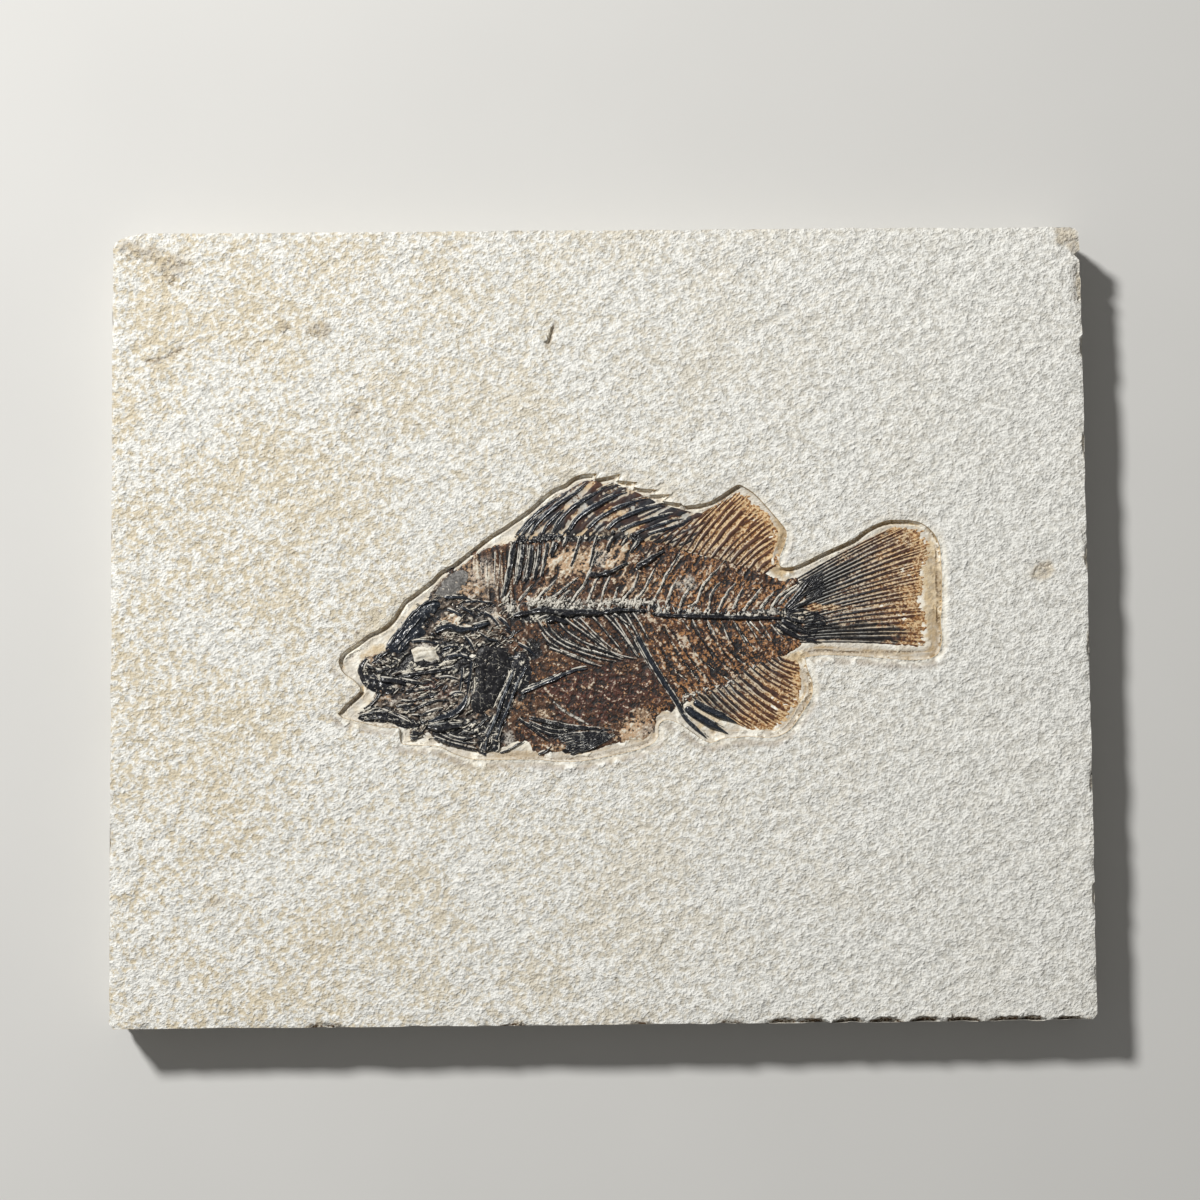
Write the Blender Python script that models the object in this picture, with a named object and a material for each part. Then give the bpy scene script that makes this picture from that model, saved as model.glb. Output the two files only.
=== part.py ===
"""Fossil fish slab: a spiny-finned fish pressed flat in a shallow recess of a limestone plate.

The plate lies on its back with the fossil facing up. Sizes are written in millimetres and turn
into metres when a mesh is made. The origin is at the middle of the underside, +X runs from the
snout to the tail and +Y from the belly to the back.
"""

import math

import bmesh
import bpy
from mathutils import Vector, noise
from mathutils.geometry import delaunay_2d_cdt

MM = 0.001

# The limestone plate
PLATE_WIDTH = 221.0
PLATE_DEPTH = 180.0
PLATE_THICKNESS = 14.0
FACE_CELLS = (30, 24)
FACE_LUMP_HEIGHT = 0.22
FACE_LUMP_LENGTH = 19.0
EDGE_WANDER = 0.35
EDGE_WANDER_LENGTH = 9.0
ARRIS_DROP = 0.3
CORNER_DRAW = 0.4
FLANK_LEVELS = (0.66, 0.33, 0.0)
FLANK_BULGE = 0.5
FLANK_BULGE_LENGTH = 5.0
FLANK_INSET = 0.15
BACK_INSET_SHARE = 0.002
CORNER_CUTS = {
    "back_left": (3.1, 3.8),
    "back_right": (1.6, 2.4),
    "front_right": (2.2, 2.0),
    "front_left": (1.2, 1.4),
}

# Heights of the layers that lie in the recess
CLEARANCE = 0.3
RECESS_DEPTH = 1.6
CUTTER_HEADROOM = 3.0
SKIN_THICKNESS = 0.3
RECESS_FLOOR = PLATE_THICKNESS - RECESS_DEPTH
FLOOR_BED = RECESS_FLOOR + CLEARANCE
SKIN_TOP = FLOOR_BED + SKIN_THICKNESS
BONE_BED = SKIN_TOP + CLEARANCE

# The prepared recess, clockwise from the tip of the snout
RECESS_OUTLINE = [
    (-59.0, -7.7), (-57.7, -5.8), (-55.2, -4.2), (-52.4, -2.1), (-50.0, -1.0), (-48.3, 0.1),
    (-46.7, 1.8), (-45.4, 3.7), (-44.4, 5.4), (-42.6, 6.6), (-40.4, 8.3), (-38.2, 10.0),
    (-36.2, 12.0), (-33.0, 13.8), (-30.4, 15.8), (-28.0, 17.8), (-25.0, 20.0), (-21.6, 22.1),
    (-18.4, 24.3), (-15.6, 26.3), (-13.2, 28.5), (-10.4, 30.6), (-7.8, 31.7), (-5.8, 33.2),
    (-3.4, 33.9), (-0.4, 34.0), (-0.9, 32.8), (4.9, 33.9), (4.3, 32.4), (6.3, 32.3),
    (8.8, 32.0), (7.9, 30.9), (9.6, 30.5), (13.4, 30.2), (11.6, 29.1), (16.3, 29.1),
    (14.4, 27.6), (18.6, 27.0), (19.2, 26.5), (22.4, 26.8), (25.0, 27.4), (27.6, 28.7),
    (29.4, 30.0), (31.2, 31.1), (33.4, 30.4), (36.0, 28.4), (38.6, 25.6), (40.8, 22.8),
    (42.4, 20.4), (42.0, 17.6), (40.8, 14.6), (41.0, 12.5), (43.4, 12.4), (46.2, 13.4),
    (50.0, 15.3), (54.0, 17.0), (57.4, 18.6), (59.8, 20.4), (62.6, 21.9), (66.4, 22.9),
    (70.2, 22.9), (73.2, 22.0), (75.6, 19.8), (77.0, 17.0), (77.3, 10.0), (77.4, 4.0),
    (77.0, 0.0), (77.2, -4.0), (76.4, -7.2), (74.4, -8.6), (70.0, -9.0), (64.0, -8.4),
    (57.0, -7.9), (50.0, -7.7), (46.2, -8.2), (46.8, -11.0), (47.8, -14.0), (47.4, -17.4),
    (45.6, -20.6), (43.6, -23.2), (41.0, -25.4), (37.6, -26.2), (33.0, -25.9), (30.2, -26.2),
    (27.4, -26.3), (24.8, -27.2), (22.6, -26.4), (20.0, -24.6), (17.6, -22.9), (14.6, -22.0),
    (13.0, -23.2), (12.8, -25.6), (11.6, -27.2), (8.0, -28.7), (3.0, -29.8), (-3.0, -30.9),
    (-9.0, -31.2), (-16.0, -30.6), (-23.0, -30.6), (-28.0, -30.6), (-33.0, -29.3), (-37.0, -27.5),
    (-41.4, -27.3), (-44.6, -27.0), (-45.4, -24.9), (-45.6, -23.4), (-50.0, -23.0), (-55.0, -21.9),
    (-58.2, -20.9), (-59.2, -20.0), (-57.6, -18.0), (-55.2, -15.9), (-54.2, -14.4), (-55.6, -12.6),
    (-57.8, -11.0), (-58.8, -9.4),
]

# The pressed skin under the bones, clockwise from the nape
SKIN_OUTLINE = [
    (-36.8, 8.0), (-35.0, 10.2), (-32.4, 12.2), (-30.0, 13.8), (-27.0, 16.3), (-23.4, 17.4),
    (-20.2, 19.0), (-16.0, 19.3), (-10.0, 19.9), (-4.0, 20.4), (2.0, 20.4), (8.0, 19.9),
    (13.0, 18.8), (18.0, 17.2), (24.0, 15.4), (29.0, 14.2), (33.0, 12.8), (38.0, 10.9),
    (41.0, 9.9), (44.0, 10.2), (46.0, 8.6), (47.6, 4.0), (47.0, -1.0), (45.4, -5.2),
    (43.0, -6.6), (39.0, -8.0), (34.0, -9.6), (30.4, -11.4), (29.0, -14.0), (24.4, -15.6),
    (19.6, -16.8), (17.4, -19.4), (14.0, -20.4), (11.0, -21.0), (8.4, -21.6), (7.6, -24.0),
    (3.6, -26.0), (0.0, -28.3), (-4.6, -29.6), (-9.0, -29.4), (-14.0, -29.8), (-16.2, -27.6),
    (-20.0, -27.4), (-23.6, -29.2), (-26.8, -29.9), (-29.0, -28.8), (-33.0, -27.8), (-36.8, -26.3),
    (-39.6, -24.6), (-41.8, -26.3), (-43.6, -25.6), (-43.4, -23.5), (-50.0, -22.0), (-54.8, -21.1),
    (-55.8, -20.1), (-53.6, -18.8), (-51.2, -15.6), (-52.6, -14.6), (-54.0, -12.6), (-54.7, -10.4),
    (-53.2, -7.4), (-48.8, -5.6), (-47.8, -3.4), (-44.4, 0.4), (-40.4, 4.6),
]
SKIN_LUMP_STEP = 5.0
SKIN_LUMP_LENGTH = 5.26
SKIN_MARGIN = 1.2
SKIN_RIM = 0.6 * SKIN_THICKNESS
SKIN_BASE = 0.145
SKIN_SWELL = 0.16

# How a bone's width swells and tapers: share at the root, place of the fullest width, share at the tip
BONE_TAPER = (0.5, 0.3, 0.12)
SUPPORT_TAPER = (0.8, 0.25, 0.3)
BONE_RIM_SHARE = 0.45
WELD_GAP = 1e-5

# Plates of the head: outline, ridge along the middle, height above the skin
HEAD_PLATES = {
    "skull_roof": (
        [(-48.2, -5.4), (-47.2, -3.4), (-45.4, -1.6), (-44.0, 0.6), (-42.0, 2.6), (-40.2, 4.4),
         (-38.2, 5.6), (-35.6, 5.2), (-35.8, 4.2), (-38.6, 3.4), (-40.0, 1.2), (-40.8, -0.8),
         (-43.4, -2.6), (-44.6, -4.8), (-46.2, -6.0)],
        [(-46.6, -4.8), (-44.0, -1.2), (-41.4, 2.0), (-38.2, 4.5)], 0.6),
    "nape_plate": (
        [(-36.6, 7.6), (-35.2, 10.0), (-33.2, 11.2), (-31.4, 10.8), (-31.8, 8.8), (-34.0, 7.8)],
        [(-35.2, 8.6), (-33.8, 9.6), (-32.4, 9.9)], 0.45),
    "snout_bone": (
        [(-54.4, -10.8), (-53.6, -9.2), (-51.0, -8.4), (-49.2, -9.2), (-49.6, -11.4),
         (-50.2, -13.4), (-50.8, -14.8), (-52.4, -14.4), (-53.8, -12.8)],
        [(-52.8, -10.2), (-52.2, -12.0), (-51.6, -13.6)], 0.6),
    "upper_jaw": (
        [(-49.4, -12.0), (-46.6, -12.0), (-44.0, -12.6), (-41.0, -13.4), (-43.4, -14.2),
         (-45.4, -14.2), (-46.4, -15.6), (-47.8, -15.8), (-49.6, -14.2)],
        [(-48.4, -13.2), (-46.4, -13.4), (-43.8, -13.4)], 0.55),
    "lower_jaw": (
        [(-55.4, -20.1), (-53.6, -19.8), (-51.4, -19.2), (-49.0, -19.0), (-46.0, -20.0),
         (-43.4, -21.2), (-42.4, -22.6), (-43.2, -23.3), (-46.0, -22.4), (-49.6, -21.7),
         (-53.0, -21.2), (-54.6, -20.8)],
        [(-53.8, -20.5), (-49.4, -20.4), (-44.2, -22.2)], 0.6),
    "eye_socket_fill": (
        [(-42.2, -5.8), (-40.0, -4.9), (-37.8, -4.9), (-36.9, -6.4), (-37.0, -7.6),
         (-39.0, -8.3), (-41.4, -8.0)],
        [(-41.0, -6.8), (-39.4, -6.4), (-38.0, -6.4)], 0.4),
    "temple_bone": (
        [(-37.0, -1.6), (-34.8, -0.6), (-32.0, -0.8), (-29.6, -1.0), (-28.2, -1.6),
         (-30.2, -2.5), (-33.4, -2.3)],
        [(-35.2, -1.4), (-32.6, -1.5), (-30.0, -1.7)], 0.5),
    "gill_cover": (
        [(-27.2, -6.2), (-24.0, -4.8), (-20.8, -6.4), (-19.8, -9.2), (-21.0, -12.8),
         (-22.8, -16.0), (-24.6, -18.8), (-26.8, -19.6), (-28.2, -17.2), (-28.0, -12.6),
         (-27.7, -9.0)],
        [(-23.4, -7.4), (-24.4, -11.2), (-25.4, -14.8), (-26.4, -17.6)], 0.65),
    "shoulder_bone": (
        [(-20.6, -11.6), (-18.6, -12.6), (-18.2, -15.2), (-19.4, -18.0), (-20.4, -21.2),
         (-22.4, -24.0), (-24.6, -25.4), (-25.6, -27.4), (-25.6, -29.5), (-26.8, -29.5),
         (-27.3, -27.4), (-26.4, -24.4), (-25.4, -21.4), (-24.0, -19.4), (-22.2, -16.4),
         (-21.2, -13.8)],
        [(-20.2, -13.4), (-21.2, -17.2), (-23.2, -21.4), (-25.4, -25.2), (-26.3, -28.4)], 0.7),
    "throat_plate": (
        [(-38.6, -23.2), (-35.8, -22.6), (-33.0, -22.4), (-31.2, -22.8), (-31.8, -24.0),
         (-35.2, -24.2), (-37.4, -24.0)],
        [(-37.0, -23.4), (-34.6, -23.3), (-32.4, -23.2)], 0.5),
}

# Slender bones that lie on the skin: route, width, height
SKIN_BLADES = {
    "brow_bone": ([(-34.8, 6.1), (-31.0, 6.1), (-28.0, 5.2), (-24.4, 4.7)], 1.0, 0.5),
    "palate_bar": ([(-44.4, -11.2), (-41.0, -11.1), (-37.0, -10.5), (-32.6, -9.8)], 1.0, 0.5),
    "jaw_rod": ([(-50.2, -15.9), (-51.2, -17.2), (-53.2, -18.6)], 0.8, 0.45),
    "jaw_hinge_bone": ([(-43.4, -19.6), (-41.4, -19.1), (-38.6, -18.0), (-36.0, -17.2)], 0.9, 0.45),
    "cheek_bone": (
        [(-28.7, -8.4), (-29.3, -12.0), (-30.4, -15.6), (-31.6, -18.6), (-33.6, -20.6), (-37.0, -21.4)],
        1.3, 0.55),
    "throat_bone": ([(-37.2, -25.7), (-34.0, -26.9), (-31.0, -27.7), (-28.3, -28.1)], 0.9, 0.45),
    "shoulder_rod": (
        [(-17.6, -15.6), (-14.0, -14.3), (-10.0, -12.4), (-6.4, -10.8), (-3.6, -10.2)], 0.9, 0.5),
    "pelvic_spine": (
        [(-15.6, -18.2), (-12.2, -17.3), (-9.6, -18.4), (-6.8, -20.6), (-3.4, -22.6)], 0.9, 0.5),
    "anal_support": ([(9.0, -4.2), (11.2, -8.2), (13.8, -12.6), (16.4, -17.0)], 1.2, 0.6),
    "tail_root_1": ([(43.6, 3.4), (45.4, 5.0), (47.0, 6.8)], 1.2, 0.55),
    "tail_root_2": ([(43.0, 1.9), (45.0, 2.2), (47.2, 2.6)], 1.0, 0.5),
    "tail_root_3": ([(42.0, 0.3), (44.0, -1.2), (46.0, -2.8)], 1.3, 0.55),
}

RIB_WIDTH = 0.5
RIB_HEIGHT = 0.45
RIBS = [
    [(-14.0, 0.4), (-12.2, -2.4), (-9.0, -4.9), (-4.0, -7.0), (0.0, -8.4)],
    [(-12.4, 0.6), (-10.6, -2.2), (-7.0, -4.5), (-1.0, -6.8), (4.0, -8.1)],
    [(-10.2, 0.6), (-8.4, -1.6), (-5.0, -3.8), (0.0, -5.9), (5.6, -7.5)],
    [(-7.6, 0.6), (-5.4, -1.4), (-2.2, -3.4), (1.6, -5.2), (4.4, -6.2)],
    [(-4.6, 0.8), (-1.6, -1.8), (1.6, -4.2)],
    [(-1.8, 1.0), (1.4, -2.0), (4.6, -5.2)],
    [(1.0, 1.0), (4.0, -2.2), (7.6, -6.6)],
    [(3.8, 1.0), (6.2, -2.0), (8.4, -5.6)],
    [(-11.0, -6.0), (-7.0, -7.4), (-2.4, -9.4), (1.0, -10.4)],
]

FIN_SUPPORT_HEIGHT = 0.5
FIN_SUPPORTS = [
    ([(-19.3, 17.8), (-19.8, 13.6), (-20.8, 9.4), (-21.6, 6.0)], 1.2),
    ([(-17.2, 17.9), (-17.7, 13.6), (-18.4, 9.8)], 1.1),
    ([(-15.0, 18.0), (-15.5, 13.6), (-16.2, 10.2)], 1.2),
    ([(-12.4, 18.1), (-12.7, 14.0), (-13.0, 11.2)], 0.9),
    ([(-10.2, 18.3), (-10.5, 16.2), (-10.9, 14.4)], 1.3),
]
DORSAL_BASE_ROUTE = [(-19.2, 18.9), (-14.0, 19.2), (-8.0, 19.7), (-2.0, 20.0), (4.0, 19.9), (9.0, 19.3)]
DORSAL_BASE_WIDTH = 0.8
DORSAL_BASE_HEIGHT = 0.5
DORSAL_BASE_KNOBS = 14
DORSAL_BASE_WAIST = 0.55

# Fin spines lie on the recess floor beyond the skin: route from root to tip, width
FIN_SPINE_HEIGHT = 1.0
DORSAL_SPINES = [
    ([(-18.6, 20.4), (-16.6, 22.7), (-14.4, 24.8), (-11.4, 27.3), (-8.6, 29.0)], 0.7),
    ([(-15.8, 20.5), (-14.4, 22.6), (-12.2, 24.9), (-9.4, 27.0), (-6.0, 29.2), (-2.4, 31.9)], 1.1),
    ([(-13.4, 20.8), (-12.4, 22.4), (-10.4, 24.2), (-8.6, 25.8)], 1.0),
    ([(-10.6, 21.0), (-9.4, 22.8), (-7.8, 24.9), (-5.8, 26.7), (-3.2, 28.4), (0.6, 30.4), (3.4, 31.8)],
     0.9),
    ([(-7.0, 21.4), (-5.4, 23.4), (-3.2, 25.3), (-0.4, 27.0), (2.8, 28.6), (6.6, 29.8)], 1.5),
    ([(-2.6, 21.7), (-0.6, 23.4), (2.0, 25.0), (5.0, 26.5), (8.4, 27.7), (11.8, 28.4)], 1.1),
    ([(1.8, 21.5), (3.6, 23.0), (6.0, 24.3), (9.4, 25.5), (12.4, 26.3), (15.2, 26.7)], 1.2),
    ([(4.8, 21.1), (7.4, 22.2), (10.4, 23.2), (13.6, 24.0), (17.2, 24.7)], 1.0),
    ([(10.6, 20.9), (13.8, 21.7), (16.8, 22.4), (19.2, 23.2)], 0.8),
]
ANAL_SPINES = [
    ([(18.4, -20.8), (19.8, -22.5), (21.8, -24.5), (23.8, -26.2)], 0.9),
    ([(19.2, -19.3), (21.4, -20.9), (24.6, -23.0), (28.4, -25.1)], 1.6),
    ([(20.9, -18.1), (23.6, -19.6), (27.4, -21.4), (30.6, -22.8)], 1.3),
]

# Rayed fins: front to back along the root, front to back along the free edge, number of rays
RAYED_FINS = {
    "soft_dorsal_fin": (
        [(13.4, 19.6), (16.0, 18.7), (20.0, 17.4), (25.0, 16.0), (30.0, 14.8), (34.0, 13.3), (38.4, 11.6)],
        [(23.0, 24.4), (25.4, 25.8), (28.4, 27.9), (31.2, 29.2), (33.6, 28.6), (36.4, 26.0),
         (38.6, 22.8), (39.6, 19.2), (39.9, 15.4), (39.8, 12.4)], 13),
    "tail_fin": (
        [(46.6, 10.2), (48.0, 8.4), (48.6, 4.4), (48.0, -0.6), (46.6, -4.6)],
        [(68.6, 21.4), (73.0, 20.2), (75.0, 17.0), (74.2, 12.0), (73.4, 7.6), (72.4, 5.2),
         (73.4, 2.0), (73.4, -2.0), (72.2, -5.6)], 22),
    "anal_fin": (
        [(22.8, -17.0), (25.4, -16.1), (29.9, -14.9), (31.3, -12.3), (34.4, -10.5), (39.2, -8.9),
         (42.6, -7.8)],
        [(32.6, -22.4), (34.4, -24.0), (37.5, -24.4), (40.6, -23.2), (43.0, -20.6), (44.6, -17.2),
         (45.0, -13.6), (44.8, -10.4), (44.0, -8.4)], 13),
}
FIN_WEB_HEIGHT = 0.25
FIN_RAY_HEIGHT = 0.6
FIN_RAY_PLACES = (0.05, 0.4, 0.7, 0.94)
PELVIC_FIN = (
    [(-18.6, -21.0), (-18.4, -22.4)],
    [(3.0, -24.4), (1.8, -26.4), (-1.4, -28.2), (-6.6, -29.2), (-9.8, -27.4), (-12.6, -26.2)], 7)

# The backbone: one vertebra to each neural spine, with haemal spines on the rear ones
BACKBONE_ROUTE = [(-19.5, 3.5), (-12.0, 3.9), (-4.0, 3.7), (4.0, 3.9), (10.0, 3.6), (16.0, 2.6),
                  (24.0, 2.1), (32.0, 1.8), (38.0, 2.0), (41.8, 2.6)]
BACKBONE_HALF_WIDTH = (1.3, 0.75)
BACKBONE_WAIST = 0.72
BACKBONE_HEIGHT = 0.65
BACKBONE_RIM = 0.4
SPINE_HALF_WIDTH = 0.28
SPINE_ROOT_SPREAD = 1.4
SPINE_BOW = 0.05
NEURAL_SPINE_TIPS = [
    (-15.3, 8.8), (-9.9, 10.0), (-5.2, 10.4), (-6.0, 7.8), (-0.8, 15.8), (-0.2, 11.0), (2.4, 11.0),
    (4.2, 8.4), (8.8, 11.6), (12.4, 12.4), (18.2, 15.7), (17.6, 10.4), (20.4, 8.6), (27.6, 13.0),
    (27.2, 9.2), (30.8, 9.0), (33.0, 8.2), (36.6, 8.0), (39.4, 6.9), (43.2, 8.0), (45.0, 8.4),
]
HAEMAL_SPINE_TIPS = {
    12: (20.6, -3.6), 13: (23.2, -3.4), 14: (26.6, -4.2), 15: (30.2, -6.0), 16: (33.6, -6.2),
    17: (36.2, -5.4), 18: (38.8, -4.8), 19: (41.4, -4.0),
}

# Scars where flakes have broken from the upper edge: middle, half-lengths along X, Y and Z
FLAKE_SCARS = [
    ((-107.0, 88.2, 15.4), (7.0, 4.6, 2.6)), ((-93.6, 90.6, 14.9), (5.2, 2.2, 1.8)),
    ((108.2, 89.4, 15.0), (4.6, 5.0, 2.8)), ((110.9, 76.0, 14.8), (1.8, 6.0, 2.4)),
    ((111.2, 14.0, 14.6), (1.4, 4.2, 1.6)), ((111.0, -37.0, 14.7), (1.6, 5.0, 1.8)),
    ((103.0, -91.0, 14.8), (5.0, 2.8, 2.4)), ((91.5, -90.8, 15.0), (5.4, 3.0, 2.2)),
    ((79.6, -90.9, 14.8), (4.8, 2.4, 1.8)), ((68.6, -90.8, 15.1), (5.2, 2.6, 2.2)),
    ((55.0, -91.0, 14.8), (5.6, 2.4, 1.8)), ((40.4, -91.0, 14.7), (4.2, 2.0, 1.6)),
    ((2.0, -91.0, 14.7), (5.0, 1.8, 1.4)), ((-42.0, -91.0, 14.7), (4.4, 1.9, 1.4)),
    ((-111.0, 21.0, 14.7), (1.6, 5.4, 1.7)), ((-111.2, -48.0, 14.6), (1.6, 4.6, 1.6)),
    ((36.0, 91.0, 14.7), (4.6, 1.7, 1.4)),
]

# Shallow pits in the face: middle, half-lengths
FACE_PITS = [
    ((-98.0, 62.0, 14.9), (5.2, 3.0, 1.3)), ((-63.0, 68.6, 14.8), (4.6, 2.2, 1.2)),
    ((99.0, 12.0, 14.9), (4.0, 2.6, 1.3)), ((-10.6, 65.6, 14.7), (1.1, 2.8, 1.1)),
    ((-54.8, 49.0, 14.8), (2.4, 1.6, 1.1)),
]

# Colour, roughness and metallic value of each finish
FINISHES = {
    "limestone": ((0.70, 0.65, 0.55), 0.92, 0.0),
    "pressed_skin": ((0.13, 0.07, 0.04), 0.6, 0.0),
    "dark_bone": ((0.028, 0.03, 0.036), 0.42, 0.0),
    "grey_bone": ((0.30, 0.29, 0.26), 0.6, 0.0),
    "amber_fin": ((0.30, 0.18, 0.07), 0.65, 0.0),
    "pale_fill": ((0.72, 0.66, 0.54), 0.85, 0.0),
}


def clear_scene():
    """Remove everything that the new file starts with."""
    for item in list(bpy.data.objects):
        bpy.data.objects.remove(item)


def make_materials():
    """One Principled material for each finish."""
    made = {}
    for name, (colour, roughness, metallic) in FINISHES.items():
        material = bpy.data.materials.new(name)
        material.use_nodes = True
        shader = material.node_tree.nodes["Principled BSDF"]
        shader.inputs["Base Color"].default_value = (*colour, 1.0)
        shader.inputs["Roughness"].default_value = roughness
        shader.inputs["Metallic"].default_value = metallic
        material.diffuse_color = (*colour, 1.0)
        made[name] = material
    return made


def add_object(name, bm, material):
    """Turn a millimetre bmesh into a metre object."""
    bmesh.ops.recalc_face_normals(bm, faces=bm.faces)
    bmesh.ops.scale(bm, vec=(MM, MM, MM), verts=bm.verts)
    mesh = bpy.data.meshes.new(name)
    bm.to_mesh(mesh)
    bm.free()
    made = bpy.data.objects.new(name, mesh)
    bpy.context.scene.collection.objects.link(made)
    if material:
        mesh.materials.append(material)
    return made


def smooth_route(points, steps):
    """Points on a Catmull-Rom curve through the given ones."""
    ends = [2 * Vector(points[0]) - Vector(points[1]), 2 * Vector(points[-1]) - Vector(points[-2])]
    guide = [ends[0]] + [Vector(p) for p in points] + [ends[1]]
    route = []
    for before, start, stop, after in zip(guide, guide[1:], guide[2:], guide[3:]):
        for step in range(steps):
            t = step / steps
            route.append(0.5 * (2 * start + t * (stop - before)
                                + t * t * (2 * before - 5 * start + 4 * stop - after)
                                + t ** 3 * (3 * start - before - 3 * stop + after)))
    return route + [Vector(points[-1])]


def point_along(points, share):
    """The point at a share of a polyline's length."""
    lengths = [(Vector(b) - Vector(a)).length for a, b in zip(points, points[1:])]
    left = share * sum(lengths)
    for a, b, length in zip(points, points[1:], lengths):
        if left <= length:
            return Vector(a).lerp(Vector(b), left / length)
        left -= length
    return Vector(points[-1])


def side_normals(route):
    """Unit vectors to the left of a route at each of its points."""
    normals = []
    for index in range(len(route)):
        along = route[min(index + 1, len(route) - 1)] - route[max(index - 1, 0)]
        normals.append(Vector((-along.y, along.x)).normalized())
    return normals


def swell(share, taper):
    """Width of a bone at a share of its length: the root's, then 1 at the fullest place, then the tip's."""
    root, fullest, tip = taper
    if share < fullest:
        return root + (1 - root) * math.sin(math.pi / 2 * share / fullest)
    return tip + (1 - tip) * math.cos(math.pi / 2 * (share - fullest) / (1 - fullest))


def relief(name, outline, bed, rim, ridges, material):
    """A closed solid: flat under, upright round its outline and faceted up to its ridges on top.

    ridges holds pairs of a line of points inside the outline and their height above the bed.
    """
    flat = [Vector(p) for p in outline]
    count = len(flat)
    heights = [rim] * count
    edges = []
    for line, height in ridges:
        first = len(flat)
        flat += [Vector(p) for p in line]
        heights += [height] * len(line)
        edges += [(first + k, first + k + 1) for k in range(len(line) - 1)]
    area = sum(a.x * b.y - b.x * a.y for a, b in zip(flat[:count], flat[1:count] + flat[:1]))
    loop = list(range(count)) if area > 0 else list(range(count))[::-1]
    points, _, faces, sources, _, _ = delaunay_2d_cdt(flat, edges, [loop], 1, WELD_GAP)
    bm = bmesh.new()
    for point, source in zip(points, sources):
        bm.verts.new((point.x, point.y, bed + (heights[source[0]] if source else rim)))
    bm.verts.ensure_lookup_table()
    for face in faces:
        bm.faces.new([bm.verts[k] for k in face])
    bmesh.ops.delete(bm, geom=[v for v in bm.verts if not v.link_faces], context="VERTS")
    open_edges = [e for e in bm.edges if e.is_boundary]
    walls = bmesh.ops.extrude_edge_only(bm, edges=open_edges)["geom"]
    for vert in (v for v in walls if isinstance(v, bmesh.types.BMVert)):
        vert.co.z = bed
    bmesh.ops.contextual_create(bm, geom=[e for e in bm.edges if e.is_boundary])
    return add_object(name, bm, material)


def blade(name, points, width, height, bed, material, taper=BONE_TAPER):
    """A slender bone: a ridge that swells and tapers along its route."""
    route = smooth_route(points, 2)
    normals = side_normals(route)
    halves = [width / 2 * swell(k / (len(route) - 1), taper) for k in range(len(route))]
    left = [p + n * h for p, n, h in zip(route, normals, halves)]
    right = [p - n * h for p, n, h in zip(route, normals, halves)]
    return relief(name, left + right[::-1], bed, BONE_RIM_SHARE * height, [(route[1:-1], height)], material)


def dorsal_fin_base(material):
    """The row of small fused bones that the dorsal spines stand on: a ridge whose sides go in and out."""
    centre = smooth_route(DORSAL_BASE_ROUTE, 4)
    count = 2 * DORSAL_BASE_KNOBS
    route = [point_along(centre, k / count) for k in range(count + 1)]
    normals = side_normals(route)
    halves = [DORSAL_BASE_WIDTH / 2 * (1.0 if k % 2 else DORSAL_BASE_WAIST) for k in range(len(route))]
    left = [p + n * h for p, n, h in zip(route, normals, halves)]
    right = [p - n * h for p, n, h in zip(route, normals, halves)]
    ridges = [(route[1:-1], DORSAL_BASE_HEIGHT)]
    rim = BONE_RIM_SHARE * DORSAL_BASE_HEIGHT
    return relief("dorsal_fin_base", left + right[::-1], BONE_BED, rim, ridges, material)


def rayed_fin(name, root, edge, rays, bed, material):
    """A pressed fin: raised rays from the root to the free edge, with valleys between them."""
    ridges = []
    for line in range(1, 2 * rays):
        share = line / (2 * rays)
        start = point_along(root, share)
        stop = point_along(edge, share)
        height = FIN_RAY_HEIGHT if line % 2 else FIN_WEB_HEIGHT
        ridges.append(([start.lerp(stop, s) for s in FIN_RAY_PLACES], height))
    return relief(name, list(root) + list(edge)[::-1], bed, FIN_WEB_HEIGHT, ridges, material)


def backbone(material):
    """The vertebrae with their neural and haemal spines, all one piece."""
    count = len(NEURAL_SPINE_TIPS)
    centre = smooth_route(BACKBONE_ROUTE, 6)
    stations = [point_along(centre, k / (2 * count)) for k in range(2 * count + 1)]
    normals = side_normals(stations)
    front, rear = BACKBONE_HALF_WIDTH
    upper, lower = [], []
    for k, (place, normal) in enumerate(zip(stations, normals)):
        half = front + (rear - front) * k / (2 * count)
        half *= 1.0 if k % 2 else BACKBONE_WAIST
        vertebra = k // 2
        top, bottom = place + normal * half, place - normal * half
        upper += with_spine(top, NEURAL_SPINE_TIPS[vertebra], 1) if k % 2 else [top]
        if k % 2 and vertebra in HAEMAL_SPINE_TIPS:
            lower += with_spine(bottom, HAEMAL_SPINE_TIPS[vertebra], -1)
        else:
            lower.append(bottom)
    outline = upper + lower[::-1]
    ridges = [(stations[1:-1], BACKBONE_HEIGHT)]
    return relief("backbone", outline, BONE_BED, BACKBONE_RIM, ridges, material)


def with_spine(root, tip, side):
    """Outline points of a spine that grows from the column at root and bows towards its tip."""
    reach = Vector(tip) - root
    middle = root + 0.5 * reach + SPINE_BOW * Vector((-reach.y, reach.x)) * -side
    across = Vector((-reach.y, reach.x)).normalized() * SPINE_HALF_WIDTH * side
    spread = SPINE_ROOT_SPREAD * across
    return [root + spread, middle + across, root + reach, middle - across, root - spread]


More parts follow.
